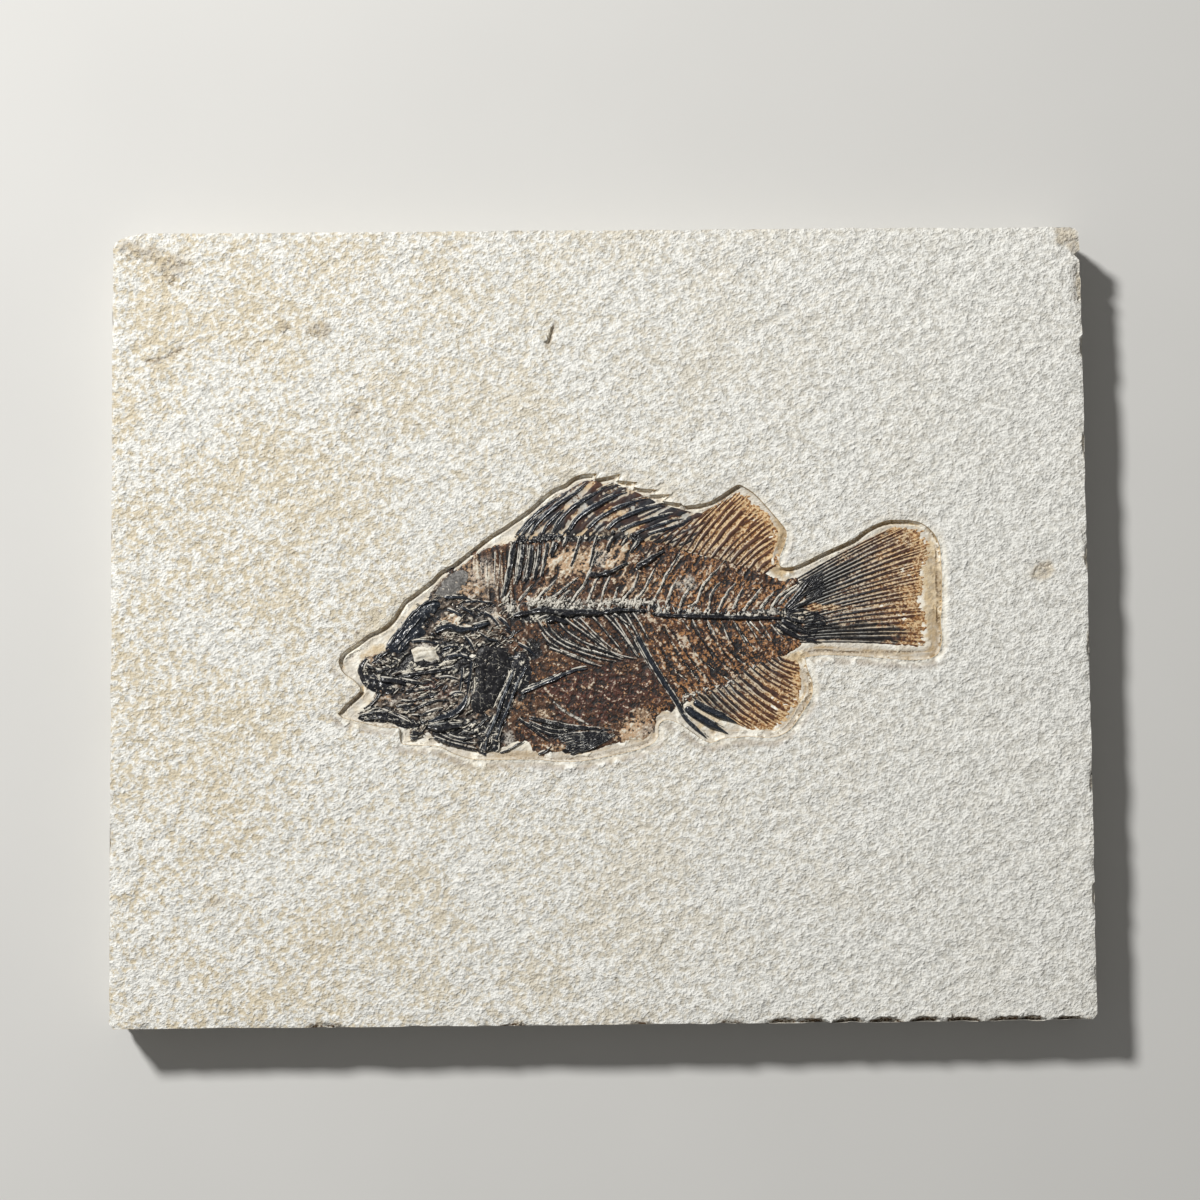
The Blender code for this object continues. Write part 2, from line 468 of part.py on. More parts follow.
def skin(material):
    """The pressed skin, gently lumpy like the crushed flesh under it."""
    xs = [p[0] for p in SKIN_OUTLINE]
    ys = [p[1] for p in SKIN_OUTLINE]
    lumps = []
    x = min(xs)
    while x < max(xs):
        y = min(ys)
        while y < max(ys):
            if inside((x, y), SKIN_OUTLINE, SKIN_MARGIN):
                lift = 0.5 + 0.5 * noise.noise(Vector((x, y, 0.0)) / SKIN_LUMP_LENGTH)
                lumps.append(([(x, y)], SKIN_BASE + SKIN_SWELL * lift))
            y += SKIN_LUMP_STEP
        x += SKIN_LUMP_STEP
    return relief("scaly_body", SKIN_OUTLINE, FLOOR_BED, SKIN_RIM, lumps, material)


def inside(point, outline, margin):
    """Whether a point is in an outline and at least a margin from its sides."""
    x, y = point
    crossings = 0
    for (ax, ay), (bx, by) in zip(outline, outline[1:] + outline[:1]):
        if (ay > y) != (by > y) and x < ax + (y - ay) * (bx - ax) / (by - ay):
            crossings += 1
        side = Vector((bx - ax, by - ay))
        share = max(0.0, min(1.0, (Vector((x - ax, y - ay))).dot(side) / side.length_squared))
        if (Vector((x, y)) - Vector((ax, ay)) - share * side).length < margin:
            return False
    return crossings % 2 == 1


def corner_cut(x, y):
    """How far the plate's corner is broken back along X and Y, for the corner nearest a point."""
    name = ("back" if y > 0 else "front") + ("_right" if x > 0 else "_left")
    return CORNER_CUTS[name]


def plate_blank(material):
    """The plate before the recess: a lumpy upper face, rough broken flanks and a flat underside."""
    bm = bmesh.new()
    bmesh.ops.create_grid(bm, x_segments=FACE_CELLS[0], y_segments=FACE_CELLS[1], size=0.5)
    for vert in bm.verts:
        x, y = vert.co.x * PLATE_WIDTH, vert.co.y * PLATE_DEPTH
        lump = noise.fractal(Vector((x, y, 3.0)) / FACE_LUMP_LENGTH, 0.9, 2.0, 3)
        vert.co = (x, y, PLATE_THICKNESS + FACE_LUMP_HEIGHT * lump)
    rim = [v for v in bm.verts if v.is_boundary]
    for vert in rim:
        x, y = vert.co.x, vert.co.y
        cut_x, cut_y = corner_cut(x, y)
        near_x = max(0.0, 1 - (PLATE_WIDTH / 2 - abs(x)) / cut_x)
        near_y = max(0.0, 1 - (PLATE_DEPTH / 2 - abs(y)) / cut_y)
        if near_x > 0.99 and near_y > 0.99:
            vert.co.x -= math.copysign(CORNER_DRAW * cut_x, x)
            vert.co.y -= math.copysign(CORNER_DRAW * cut_y, y)
        wander = EDGE_WANDER * noise.noise(Vector((x, y, 0.0)) / EDGE_WANDER_LENGTH)
        vert.co.x -= math.copysign(abs(wander), x) if near_x > 0.99 else 0.0
        vert.co.y -= math.copysign(abs(wander), y) if near_y > 0.99 else 0.0
        vert.co.z = PLATE_THICKNESS - ARRIS_DROP - 0.5 * abs(wander)
    edges = [e for e in bm.edges if e.is_boundary]
    for level in FLANK_LEVELS:
        grown = bmesh.ops.extrude_edge_only(bm, edges=edges)["geom"]
        edges = [e for e in grown if isinstance(e, bmesh.types.BMEdge)]
        for vert in (v for v in grown if isinstance(v, bmesh.types.BMVert)):
            place = Vector((vert.co.x, vert.co.y, level * EDGE_WANDER_LENGTH))
            push = FLANK_BULGE * abs(noise.noise(place / FLANK_BULGE_LENGTH))
            inset = (push + FLANK_INSET) / (PLATE_WIDTH / 2) if level else BACK_INSET_SHARE
            vert.co.x *= 1 - inset
            vert.co.y *= 1 - inset
            vert.co.z = level * PLATE_THICKNESS
    bmesh.ops.contextual_create(bm, geom=[e for e in bm.edges if e.is_boundary])
    return add_object("limestone_slab", bm, material)


def add_cutter(name, bm, target):
    """Hide a cutter and take it out of the target."""
    cutter = add_object(name, bm, None)
    cutter.hide_render = True
    cutter.display_type = "WIRE"
    cut = target.modifiers.new(name, "BOOLEAN")
    cut.operation = "DIFFERENCE"
    cut.solver = "EXACT"
    cut.object = cutter


def cut_recess(plate):
    """Sink the fish's recess into the face."""
    bm = bmesh.new()
    floor = bm.faces.new([bm.verts.new((x, y, RECESS_FLOOR)) for x, y in RECESS_OUTLINE])
    grown = bmesh.ops.extrude_face_region(bm, geom=[floor])["geom"]
    for vert in (v for v in grown if isinstance(v, bmesh.types.BMVert)):
        vert.co.z = PLATE_THICKNESS + CUTTER_HEADROOM
    add_cutter("recess_cutter", bm, plate)


def cut_scars(plate):
    """Scoop the flake scars out of the upper edge and the pits out of the face."""
    bm = bmesh.new()
    for centre, halves in FLAKE_SCARS + FACE_PITS:
        ball = bmesh.ops.create_icosphere(bm, subdivisions=1, radius=1.0)["verts"]
        bmesh.ops.scale(bm, vec=halves, verts=ball)
        bmesh.ops.translate(bm, vec=centre, verts=ball)
    add_cutter("scar_cutter", bm, plate)


def build():
    """Model every piece of the slab."""
    clear_scene()
    finish = make_materials()
    plate = plate_blank(finish["limestone"])
    cut_recess(plate)
    cut_scars(plate)
    skin(finish["pressed_skin"])
    for name, (outline, ridge, height) in HEAD_PLATES.items():
        stone = finish["pale_fill" if name == "eye_socket_fill" else "dark_bone"]
        relief(name, outline, BONE_BED, BONE_RIM_SHARE * height, [(ridge, height)], stone)
    for name, (points, width, height) in SKIN_BLADES.items():
        blade(name, points, width, height, BONE_BED, finish["dark_bone"])
    for number, points in enumerate(RIBS, 1):
        blade(f"rib_{number}", points, RIB_WIDTH, RIB_HEIGHT, BONE_BED, finish["grey_bone"])
    for number, (points, width) in enumerate(FIN_SUPPORTS, 1):
        blade(f"fin_support_{number}", points, width, FIN_SUPPORT_HEIGHT, BONE_BED, finish["dark_bone"],
              SUPPORT_TAPER)
    dorsal_fin_base(finish["dark_bone"])
    for number, (points, width) in enumerate(DORSAL_SPINES, 1):
        blade(f"dorsal_spine_{number}", points, width, FIN_SPINE_HEIGHT, FLOOR_BED, finish["dark_bone"])
    for number, (points, width) in enumerate(ANAL_SPINES, 1):
        blade(f"anal_spine_{number}", points, width, FIN_SPINE_HEIGHT, FLOOR_BED, finish["dark_bone"])
    for name, (root, edge, rays) in RAYED_FINS.items():
        rayed_fin(name, root, edge, rays, FLOOR_BED, finish["amber_fin"])
    rayed_fin("pelvic_fin", *PELVIC_FIN, BONE_BED, finish["dark_bone"])
    backbone(finish["grey_bone"])


build()
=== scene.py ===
"""A fossil fish on a trimmed plate of limestone, dressed over its CAD solids.

Each operator makes one piece of the slab, or one group of like bones, and the last one sets the stage.
"""

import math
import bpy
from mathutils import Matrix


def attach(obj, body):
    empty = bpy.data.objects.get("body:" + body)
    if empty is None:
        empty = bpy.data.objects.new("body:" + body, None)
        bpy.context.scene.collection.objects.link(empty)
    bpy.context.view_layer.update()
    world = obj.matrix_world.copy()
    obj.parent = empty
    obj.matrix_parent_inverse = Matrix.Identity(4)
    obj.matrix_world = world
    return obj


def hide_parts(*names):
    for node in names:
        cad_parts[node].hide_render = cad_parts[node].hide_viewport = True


bl_info = {
    "name": "Fossil Fish Slab",
    "version": (1, 0, 0),
    "blender": (4, 5, 0),
    "location": "3D View > Sidebar > Fossil Fish",
    "description": "Models a fossil fish on a limestone plate, with its pressed skin, bones and fins",
    "category": "Object",
}

import bpy
import numpy as np
from bpy.props import FloatProperty, FloatVectorProperty, IntProperty, PointerProperty
from mathutils import Vector
from mathutils.geometry import delaunay_2d_cdt

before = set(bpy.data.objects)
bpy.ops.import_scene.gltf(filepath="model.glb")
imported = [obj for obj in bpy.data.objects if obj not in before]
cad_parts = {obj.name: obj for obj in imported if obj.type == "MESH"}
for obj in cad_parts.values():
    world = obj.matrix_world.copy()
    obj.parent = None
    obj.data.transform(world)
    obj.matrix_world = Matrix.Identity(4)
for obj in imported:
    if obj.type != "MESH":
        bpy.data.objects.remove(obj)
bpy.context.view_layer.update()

MM = 0.001

# Heights of the layers, in millimetres above the underside of the plate
FACE = 14.0
HIGHEST = 14.19
FLOOR = 13.02
FIN_BED = 12.75
SKIN_BED = 12.7
SKIN_FACE = 13.25
BONE_BED = 13.25

# The plate stays between these corners. Points are strewn over its face, and closer round the fish
CORNERS = (-110.48, -89.98), (110.46, 89.98)
FACE_BOX = (-110.0, -89.6), (110.0, 89.6)
FISH_BOX = (-62.0, -34.0), (80.0, 37.0)
FINE_CELL = 0.38
FLANK_LEVELS = [13.3, 12.5, 11.4, 10.2, 9.0, 7.8, 6.6, 5.4, 4.2, 3.0, 1.9, 0.9, 0.25, 0.0]

# Camera and lamp: places and sizes in metres, turns in degrees
CAMERA_PLACE = (-0.003181, -0.040065, 0.611098)
CAMERA_TURN = (4.33833, -0.26726, -0.50553)
CAMERA_LENS = 79.524
LAMP_PLACE = (-0.6, 0.62, 0.86)
LAMP_WIDTH = 0.17
LAMP_POWER = 16.5
ROOM_LIGHT = 0.18


def drawn(*rows):
    """Strokes from flat rows: a width, x and y of each point, and for some a lift at the end."""
    strokes = []
    for width, *rest in rows:
        route = list(zip(rest[::2], rest[1::2]))
        strokes.append((width, route, *rest[2 * len(route):]))
    return strokes


# The outer edge of the plate, clockwise from the back left corner
PLATE_OUTLINE = [
    (-110.42, 86.4), (-109.8, 87.9), (-107.4, 89.3), (-104, 89.92), (103, 89.92), (109.2, 89.6),
    (110.3, 88.7), (110.4, 84.6), (108.9, 83.6), (110.2, 82.2), (110.46, 79), (110.42, 40),
    (110.42, -88.4), (109.4, -89.6), (60, -89.92), (-109.4, -89.92), (-110.42, -88.6),
]

# Where flakes have broken off the face: x and y of the middle, two half-lengths, turn in degrees, depth
FACE_SCARS = [
    (-105.6, 86.4, 3.2, 1.8, -22, 0.3), (-101.6, 84.8, 3.4, 2.4, -20, 0.25),
    (-96.6, 82.8, 4.4, 2.6, -8, 0.35), (-97.2, 79.6, 1.8, 1, 0, 0.25), (-95.8, 62.6, 3.2, 1.1, 32, 0.4),
    (-100.6, 60.6, 2.8, 1.1, 6, 0.4), (-71.6, 68.6, 1.5, 2, 20, 0.25), (-63.6, 67.6, 3.2, 2.2, -12, 0.25),
    (-54.8, 49, 2, 1.2, 30, 0.5), (-10.6, 65.6, 0.6, 2.8, -18, 0.8), (-87, -62, 3, 1.4, 15, 0.3),
    (100.2, 11, 3, 2.2, 30, 0.5), (107.6, 87.4, 2.7, 5, 38, 0.5), (109.9, 76.6, 0.9, 5, 2, 0.9),
    (36, 90.5, 4.4, 0.9, 0, 0.8), (-38, 90.5, 4, 0.9, 0, 0.7),
]
FACE_SCARS += [(x, -90.1, 4, 1.3, turn, depth) for x, turn, depth in (
    (103.6, 3, 2.2), (96, -5, 2.4), (89.4, 6, 2), (80.6, -4, 2.4), (71.6, 5, 2), (62.6, 3, 2.2),
    (54.4, 4, 2.4), (47, -4, 1.8), (40, 0, 1.8))]
FACE_SCARS += [(x, -90.4, 4, 0.9, 0, 1.1) for x in (28, 8, -20, -62)]
FACE_SCARS += [(110.7, y, 1, 3.2, 0, 0.9) for y in (62, 40, 14, -6, -37, -62)]
FACE_SCARS += [(-111, y, 1, 4.4, 0, 0.9) for y in (70, 21, -48)]

# Thin cracks round the flakes: a width, then x and y of each point
STONE_CRACKS = drawn(
    (0.5, -101.8, 80.9, -100, 80, -98, 80.3, -95.6, 80.1, -93, 80.6, -91.8, 81.6),
    (0.3, -99, 80, -97.2, 78.4, -95.4, 80), (0.35, -108.4, 85.8, -105.6, 83.8, -104, 84.4),
    (0.3, -105, 84.9, -102.6, 85.2, -101.6, 86), (0.9, -95, 83.6, -94.4, 82.6),
    (0.5, -98.6, 83.8, -97.2, 83.4), (0.7, -103, 60.5, -98.2, 61.2), (0.8, -97.4, 62, -93.8, 63.6),
    (0.3, -101.4, 59.5, -99, 58.4, -97.6, 59.4), (0.3, -72.6, 67.4, -71.4, 66.6, -70.4, 68),
    (0.3, -66.2, 67.4, -64.2, 65.8, -61.6, 66.2), (0.8, -11.6, 63.2, -10.4, 66.2, -9.9, 68.2),
    (0.7, 109.6, 81.2, 108.9, 79.6, 108.9, 75.4, 109.2, 71.8),
    (0.5, 96, 13.6, 98.4, 14, 100.6, 12, 102.6, 12.6),
)

# Thin cracks along the floor of the recess
FLOOR_CRACKS = drawn(
    (0.5, 45.6, -6.9, 50, -6.5, 55, -7, 62, -6.9, 68, -7, 73.4, -6.9),
    (0.3, 76, -3, 76.4, 4, 76.2, 12, 76.4, 17),
    (0.4, 30, -26, 36, -26, 41, -24.9, 44.6, -21.8, 47, -16.6, 47, -12),
    (0.4, -20, -30.2, -6, -30.5, 0, -29.9, 6, -28.8, 11, -27), (0.35, -54, -22.2, -45.8, -23.2),
    (0.35, -44, -26.6, -40, -26.7, -36.6, -27.1), (0.3, -53.6, -14.8, -55.6, -17, -57.6, -19.6),
    (0.3, -57, -8.6, -55.6, -6.6, -52, -4.6),
)

# Small dark grains in the face near the snout: place, radius
DARK_GRAINS = [
    ((-50, 3), 0.5), ((-51.6, 1.3), 0.45), ((-53.4, 0.3), 0.4), ((-55, 0.2), 0.45), ((-55, -1.6), 0.45),
    ((-57.5, -2.3), 0.35), ((-59.6, -4.4), 0.4), ((-61, -5.5), 0.4), ((-76, 60), 0.4), ((4, -31.8), 0.4),
    ((-57.2, 1.6), 0.3), ((-47.6, 3.4), 0.35),
]

# The prepared recess, clockwise from the tip of the snout
RECESS_OUTLINE = [
    (-59, -7.7), (-57.7, -5.8), (-55.2, -4.2), (-52.4, -2.1), (-50, -1), (-48.3, 0.1), (-46.7, 1.8),
    (-44.4, 5.4), (-42.6, 6.6), (-38.2, 10), (-36.2, 12), (-33, 13.8), (-25, 20), (-21.6, 22.1),
    (-15.6, 26.3), (-13.2, 28.5), (-10.4, 30.6), (-7.8, 31.7), (-5.8, 33.2), (-3.4, 33.9), (-0.4, 34),
    (-0.9, 32.8), (4.9, 33.9), (4.3, 32.4), (8.8, 32), (7.9, 30.9), (9.6, 30.5), (13.4, 30.2),
    (11.6, 29.1), (16.3, 29.1), (14.4, 27.6), (18.6, 27), (19.2, 26.5), (25, 27.4), (31.2, 31.1),
    (33.4, 30.4), (36, 28.4), (40.8, 22.8), (42.4, 20.4), (42, 17.6), (40.8, 14.6), (41, 12.5),
    (43.4, 12.4), (46.2, 13.4), (50, 15.3), (57.4, 18.6), (59.8, 20.4), (62.6, 21.9), (66.4, 22.9),
    (73.2, 22), (77, 17), (77.4, 4), (77, 0), (77.2, -4), (76.4, -7.2), (74.4, -8.6), (70, -9), (57, -7.9),
    (50, -7.7), (46.2, -8.2), (46.8, -11), (47.8, -14), (47.4, -17.4), (43.6, -23.2), (41, -25.4),
    (37.6, -26.2), (33, -25.9), (30.2, -26.2), (27.4, -26.3), (24.8, -27.2), (22.6, -26.4), (17.6, -22.9),
    (14.6, -22), (13, -23.2), (12.8, -25.6), (11.6, -27.2), (8, -28.7), (-3, -30.9), (-9, -31.2),
    (-16, -30.6), (-28, -30.6), (-33, -29.3), (-37, -27.5), (-44.6, -27), (-45.4, -24.9), (-45.6, -23.4),
    (-50, -23), (-58.2, -20.9), (-59.2, -20), (-57.6, -18), (-55.2, -15.9), (-54.2, -14.4), (-55.6, -12.6),
    (-57.8, -11), (-58.8, -9.4),
]

# The pressed skin under the bones, clockwise from the nape
SKIN_OUTLINE = [
    (-35.6, 10.9), (-30.4, 14.6), (-27.4, 17), (-20.2, 19), (-16, 19.3), (-4, 20.4), (8, 19.9), (24, 15.4),
    (29, 14.2), (41, 9.9), (44, 10.2), (46, 8.6), (47.6, 4), (47, -1), (45.4, -5.6), (43, -7.4),
    (34.6, -11), (31.2, -13.2), (28.6, -15.4), (24.4, -16.8), (20, -17.8), (17.4, -19.4), (14, -20.4),
    (12.6, -22), (12.4, -24.4), (10.6, -26), (6.8, -26.7), (3.6, -27), (0, -28.5), (-4.6, -29.6),
    (-9, -29.4), (-14, -29.8), (-16.2, -27.6), (-20, -27.4), (-23.6, -29.2), (-26.8, -29.9), (-29, -28.8),
    (-33, -27.8), (-36.8, -26.3), (-39.6, -24.6), (-41.8, -26.3), (-43.6, -25.6), (-43.4, -23.5),
    (-54.8, -21.1), (-55.8, -20.1), (-53.6, -18.8), (-51.2, -15.6), (-52.6, -14.6), (-54, -12.6),
    (-54.7, -10.4), (-53.2, -7.4), (-48.8, -5.6), (-47.8, -3.4), (-40.4, 4.6),
]

# Patches of colour in the skin: x and y of the middle, two half-lengths, turn in degrees, strength
CHAR_PATCHES = [
    (-46, -10, 9.5, 4.6, 10, 0.75), (-48, -20.6, 7.5, 1.8, -18, 0.95), (-42, 1.2, 7.4, 2.6, 52, 1),
    (-33, -8, 9, 6, 0, 0.7), (-24.4, -11, 5.4, 9.5, 6, 1), (-33.5, -22.8, 7.5, 3.2, -12, 1),
    (-25, -24.5, 3.4, 6, 0, 0.9), (-18.6, -13, 3.2, 5, 10, 0.85), (-15.6, -6.2, 3.4, 2.6, 0, 0.8),
    (-30, 1.6, 7, 3.4, -10, 0.5), (-10, 1.8, 11, 1.5, 3, 1), (6, 2, 8, 1.2, 0, 0.6),
    (28, 1.2, 17, 0.9, -2, 0.75), (44, 1.2, 3.6, 4.4, -8, 0.85), (41.4, -1.8, 2.6, 1.5, -20, 1),
    (-17, 14, 4.6, 5.6, 0, 0.6), (-5, 19.4, 15, 0.9, 2, 0.95), (-6, -5, 8, 3, -28, 0.45),
    (-9.5, -24.5, 6, 2.4, -25, 0.85), (-3, -27, 6, 1.9, 22, 0.95), (5.6, -4.4, 5, 4.2, -50, 0.4),
    (18.4, -19, 2, 2, -45, 0.7), (10, -8, 7, 1.5, -60, 0.5), (-37, -13.6, 6, 3.5, 0, 0.2),
    (14, 14.6, 7, 2, -12, 0.45), (34, 10.6, 7.5, 1.6, -20, 0.35),
]
OCHRE_PATCHES = [
    (-28.5, 10, 6, 5, 30, 0.8), (-30, 7.4, 2.6, 1.6, 10, 0.9), (-7, 14, 6, 4, -5, 0.95),
    (3, 15.4, 6.5, 3.4, -5, 0.95), (-8, 8.6, 6, 2.8, 0, 0.6), (9, 9, 6, 4, -8, 0.6),
    (31, 5, 6.4, 2.2, -5, 0.45), (28, -4.6, 9, 3.4, -12, 0.4), (20, -10, 6, 4, -40, 0.35),
    (8.4, -24, 5.6, 3.4, 14, 1.1), (9.6, -20.4, 3.4, 1.6, 10, 0.7), (-33.6, 1.6, 2, 1, 20, 1.2),
    (-30, -0.6, 1.8, 0.8, -20, 1.2), (-23.4, 1.8, 1.4, 0.9, 0, 1.2), (-2.6, -14.6, 3, 0.9, 0, 0.45),
    (-10, -28.4, 3, 0.9, -5, 0.85), (-12.6, -20.2, 2.4, 1.4, 0, 0.55), (-34, 0.8, 3.2, 1.5, 10, 0.95),
    (-49, -16.7, 2.2, 1, -5, 0.9), (-51.4, -7.4, 1.6, 1, 20, 0.8), (42.6, 8.6, 1.8, 1.2, 0, 0.6),
    (47, 3.2, 1.4, 1, 0, 0.8), (-25.4, -20, 0.8, 2.4, 12, 0.7), (-18.2, -18, 2.4, 1.8, 0, 0.6),
]
PALE_PATCHES = [
    (10.4, -24.6, 3, 1.8, 0, 0.5), (-39.6, -6.4, 3.4, 2.2, 5, 1), (0, 14.6, 1.8, 2.4, 0, 0.8),
    (19.4, 9, 2.4, 2, 20, 0.95), (-38.8, -10, 3.4, 0.7, 10, 0.9), (-25.6, 2.2, 2.8, 1.8, -20, 0.6),
    (-20.8, -26.4, 1.4, 2.2, 0, 0.95), (-32, -0.2, 2.6, 0.8, 8, 0.7), (-47, -17.2, 3, 0.6, 0, 0.5),
    (-11, 4.6, 9, 0.9, 2, 0.6), (3, 4.8, 9, 0.8, 0, 0.5), (-20.4, 3.6, 2, 1.4, 0, 0.7),
    (-22, -8, 3, 0.5, -25, 0.35), (-33.6, 9, 3.4, 1.8, 42, 0.9), (-26, 11.6, 4, 3.4, 50, 0.5),
    (-40, -26, 2.4, 0.6, -15, 0.8),
]
RED_PATCHES = [
    (-38, -14.8, 4.6, 2.4, -5, 0.8), (0, -16, 11, 6.5, 10, 0.9), (-9, -14, 5, 3.4, 30, 0.8),
    (9, -14, 5, 5, 0, 0.7), (-16, -25, 3, 2, -20, 0.5), (-6, 11.6, 5, 3, 20, 0.35),
]

# Slender bones: a width, then x and y of each point from root to tip, then a lift for a few
SKULL_BONES = drawn(
    (0.6, -47.8, -5.2, -46.4, -3, -42.8, 2, -40.8, 4.2, -38.8, 5.2, -36.4, 5.2, 0.25),
    (0.7, -46.6, -5.4, -43, -1.2, -39.8, 3, -37.8, 4, 0.3), (1, -45.2, -5.9, -44, -4.3, -40.8, -1.6),
    (0.8, -43.2, -0.4, -40.2, 3.4), (0.8, -42.8, -3.9, -40.4, -3.8, -36.6, -4.4),
    (1, -35.2, 6.2, -29.4, 5.8), (0.6, -30.4, 5, -27.8, 5.1, -24.2, 4.6),
    (1.7, -37.2, -1.8, -35.6, -0.9, -33.6, -0.7, -31.6, -1.4, -29.6, -1.2, -28, -1.4),
    (1.3, -28.6, -0.7, -25.2, 0.2), (0.8, -34.6, 3.4, -32.6, 2.6, -31, 1.6),
    (0.7, -31.4, 4, -29.6, 2.8, -28.4, 1.6), (0.6, -35.6, -5.6, -33.6, -5, -31.4, -5.4),
    (0.7, -34.8, -7.4, -32, -7, -29.8, -7.6), (0.6, -30.8, -2.6, -29.4, -4.2, -28.6, -6),
    (0.6, -27.4, -2, -25.4, -3.2, -23.2, -3.8), (0.8, -23.2, 1.6, -21.6, 0.4, -20.2, -1.2),
    (0.6, -26.2, 2.6, -24.2, 1.2, -22.8, -0.6),
)
JAW_BONES = drawn(
    (1.1, -52.8, -7.6, -53.9, -9.2, -54, -10.8, -53.2, -12.4, -52, -13.8),
    (0.9, -52.9, -9, -52, -9.6, -50.8, -9.9), (1, -50.8, -10.2, -49.8, -10.6, -48.8, -10.3),
    (0.7, -51.6, -11.2, -50.4, -12.2, -50.2, -13.8), (0.6, -50.4, -8, -49.2, -8.8, -47.8, -8.4),
    (1.5, -49.8, -12.3, -46, -12.9, -44, -13.4), (1, -44.6, -11.7, -36.4, -10.5, -32.8, -9.7),
    (0.9, -45.4, -12.4, -41, -13.3, -39, -13.3), (0.8, -49.8, -15.3, -51.6, -17.7, -53.4, -18.8),
    (0.6, -54.6, -20.6, -52, -19.9, -49, -19.8, -46.2, -20.8, -43.4, -22.2, 0.3),
    (0.5, -53, -21.3, -49.4, -21.2, -46, -22, -43.6, -22.9, 0.25),
    (0.8, -43.8, -19.6, -42.2, -19.4, -39.2, -17.9, -36.8, -17.3, -34.8, -17.2),
    (0.9, -42.4, -22, -41.8, -22.7, -41, -22.4), (0.8, -40.6, -21.6, -40, -22.2, -39.2, -21.9),
    (0.9, -42.4, -24.2, -41.2, -24.6, -40.2, -24.2), (0.9, -43.2, -25.4, -42.2, -25.7, -41.2, -25.4),
    (0.6, -45, -17.2, -42.8, -17.4, -40.6, -16.6, -38.6, -16.4), (0.6, -46, -18.6, -42, -17.9),
    (0.5, -44, -14.8, -41.6, -15, -39.4, -14.4, -36.8, -14.4), (0.5, -36.4, -12.2, -34.2, -12, -32, -12.6),
    (0.6, -42.6, -20.6, -40.2, -20.4, -38, -19.6, -35.6, -19),
)
THROAT_BONES = drawn(
    (2, -39, -23, -37, -23.4, -31.2, -22.9), (0.7, -34.4, -25.1, -32.6, -25.8, -31, -26, -28.2, -25.6),
    (0.9, -37.8, -25.5, -34, -26.9, -28.2, -28.5),
    (0.6, -36.4, -24.9, -33.6, -26.2, -30.6, -26.9, -28.2, -27),
    (0.7, -31.2, -24.2, -29.6, -24.8, -27.8, -24.2), (0.5, -22.8, -29.1, -20.4, -28.2, -17.4, -26.4),
    (0.6, -14.2, -29.5, -12.8, -29, -11.2, -27.9),
)
CHEEK_BONES = drawn(
    (1.6, -30.2, -16, -30.8, -18, -32.2, -19.6, -34.4, -20.7, -39, -21.9),
    (0.8, -29, -8.4, -29.3, -11, -30.2, -15.8), (0.6, -31.2, -9.8, -31.4, -12.4, -32, -15),
    (0.6, -33.8, -16.2, -32.4, -15.4, -30.8, -15.6),
)
SHOULDER_BONES = drawn(
    (0.8, -19.6, -10.4, -20.8, -14, -25.4, -25.4, -26.2, -28.6, 0.35),
    (0.7, -18.2, -12, -19.4, -15.4, -22.4, -22.6, -23.6, -26.2, 0.3),
    (0.6, -16.8, -9.6, -17.6, -11.6, -19, -13.6, 0.3),
    (1, -17.8, -15.7, -11, -12.9, -7.6, -11.2, -3, -10.2), (0.5, -16.4, -14.4, -13.4, -13.2, -10, -11.6),
    (0.8, -18.6, -4.6, -16.6, -5.6, -14.6, -7.4), (0.6, -24.2, -5.6, -20.6, -7.8, -17.4, -8.9),
)
# Flat bones of the head: outline, and the grooves that score them
SKULL_ROOF = [
    (-48.6, -5.3), (-47.4, -2.9), (-44.4, 0.6), (-40.8, 4.2), (-37.2, 5.5), (-35.8, 4.4), (-38, 2.2),
    (-40.2, 0.2), (-39.4, -1.8), (-41.6, -3.6), (-44.6, -6), (-46.8, -6.4),
]
UPPER_JAW = [
    (-54.7, -10.6), (-53.2, -10.4), (-50, -12.4), (-47.4, -12.9), (-45.4, -14.2), (-46.8, -15.6),
    (-48.8, -15), (-50.6, -15), (-52.4, -14.4), (-54, -12.8),
]
LOWER_JAW = [
    (-54.9, -20.9), (-52.8, -19.4), (-50, -18.8), (-46.5, -19.8), (-43.4, -21.3), (-42.2, -22.9),
    (-44.4, -23.3), (-47.4, -22.2), (-54, -21.6),
]
SHOULDER_BLADE = [
    (-20.6, -9), (-21, -12.6), (-22.8, -16.4), (-24.2, -20.8), (-26, -24), (-27.4, -28.8), (-26, -29.7),
    (-25.2, -26.6), (-24.6, -25.2), (-24.5, -28.4), (-23.1, -28.8), (-22.9, -24.6), (-20.8, -20.6),
    (-20.2, -17), (-18.2, -14.8), (-16, -12.8), (-15.6, -10.2), (-16.6, -7.6), (-18, -6.6), (-19.8, -7),
]
NAPE_PLATE = [
    (-37.4, 6.4), (-36, 9.2), (-33.6, 11.4), (-31, 12.4), (-29.8, 11), (-30.6, 8.8), (-32.6, 7),
    (-35, 6.2),
]
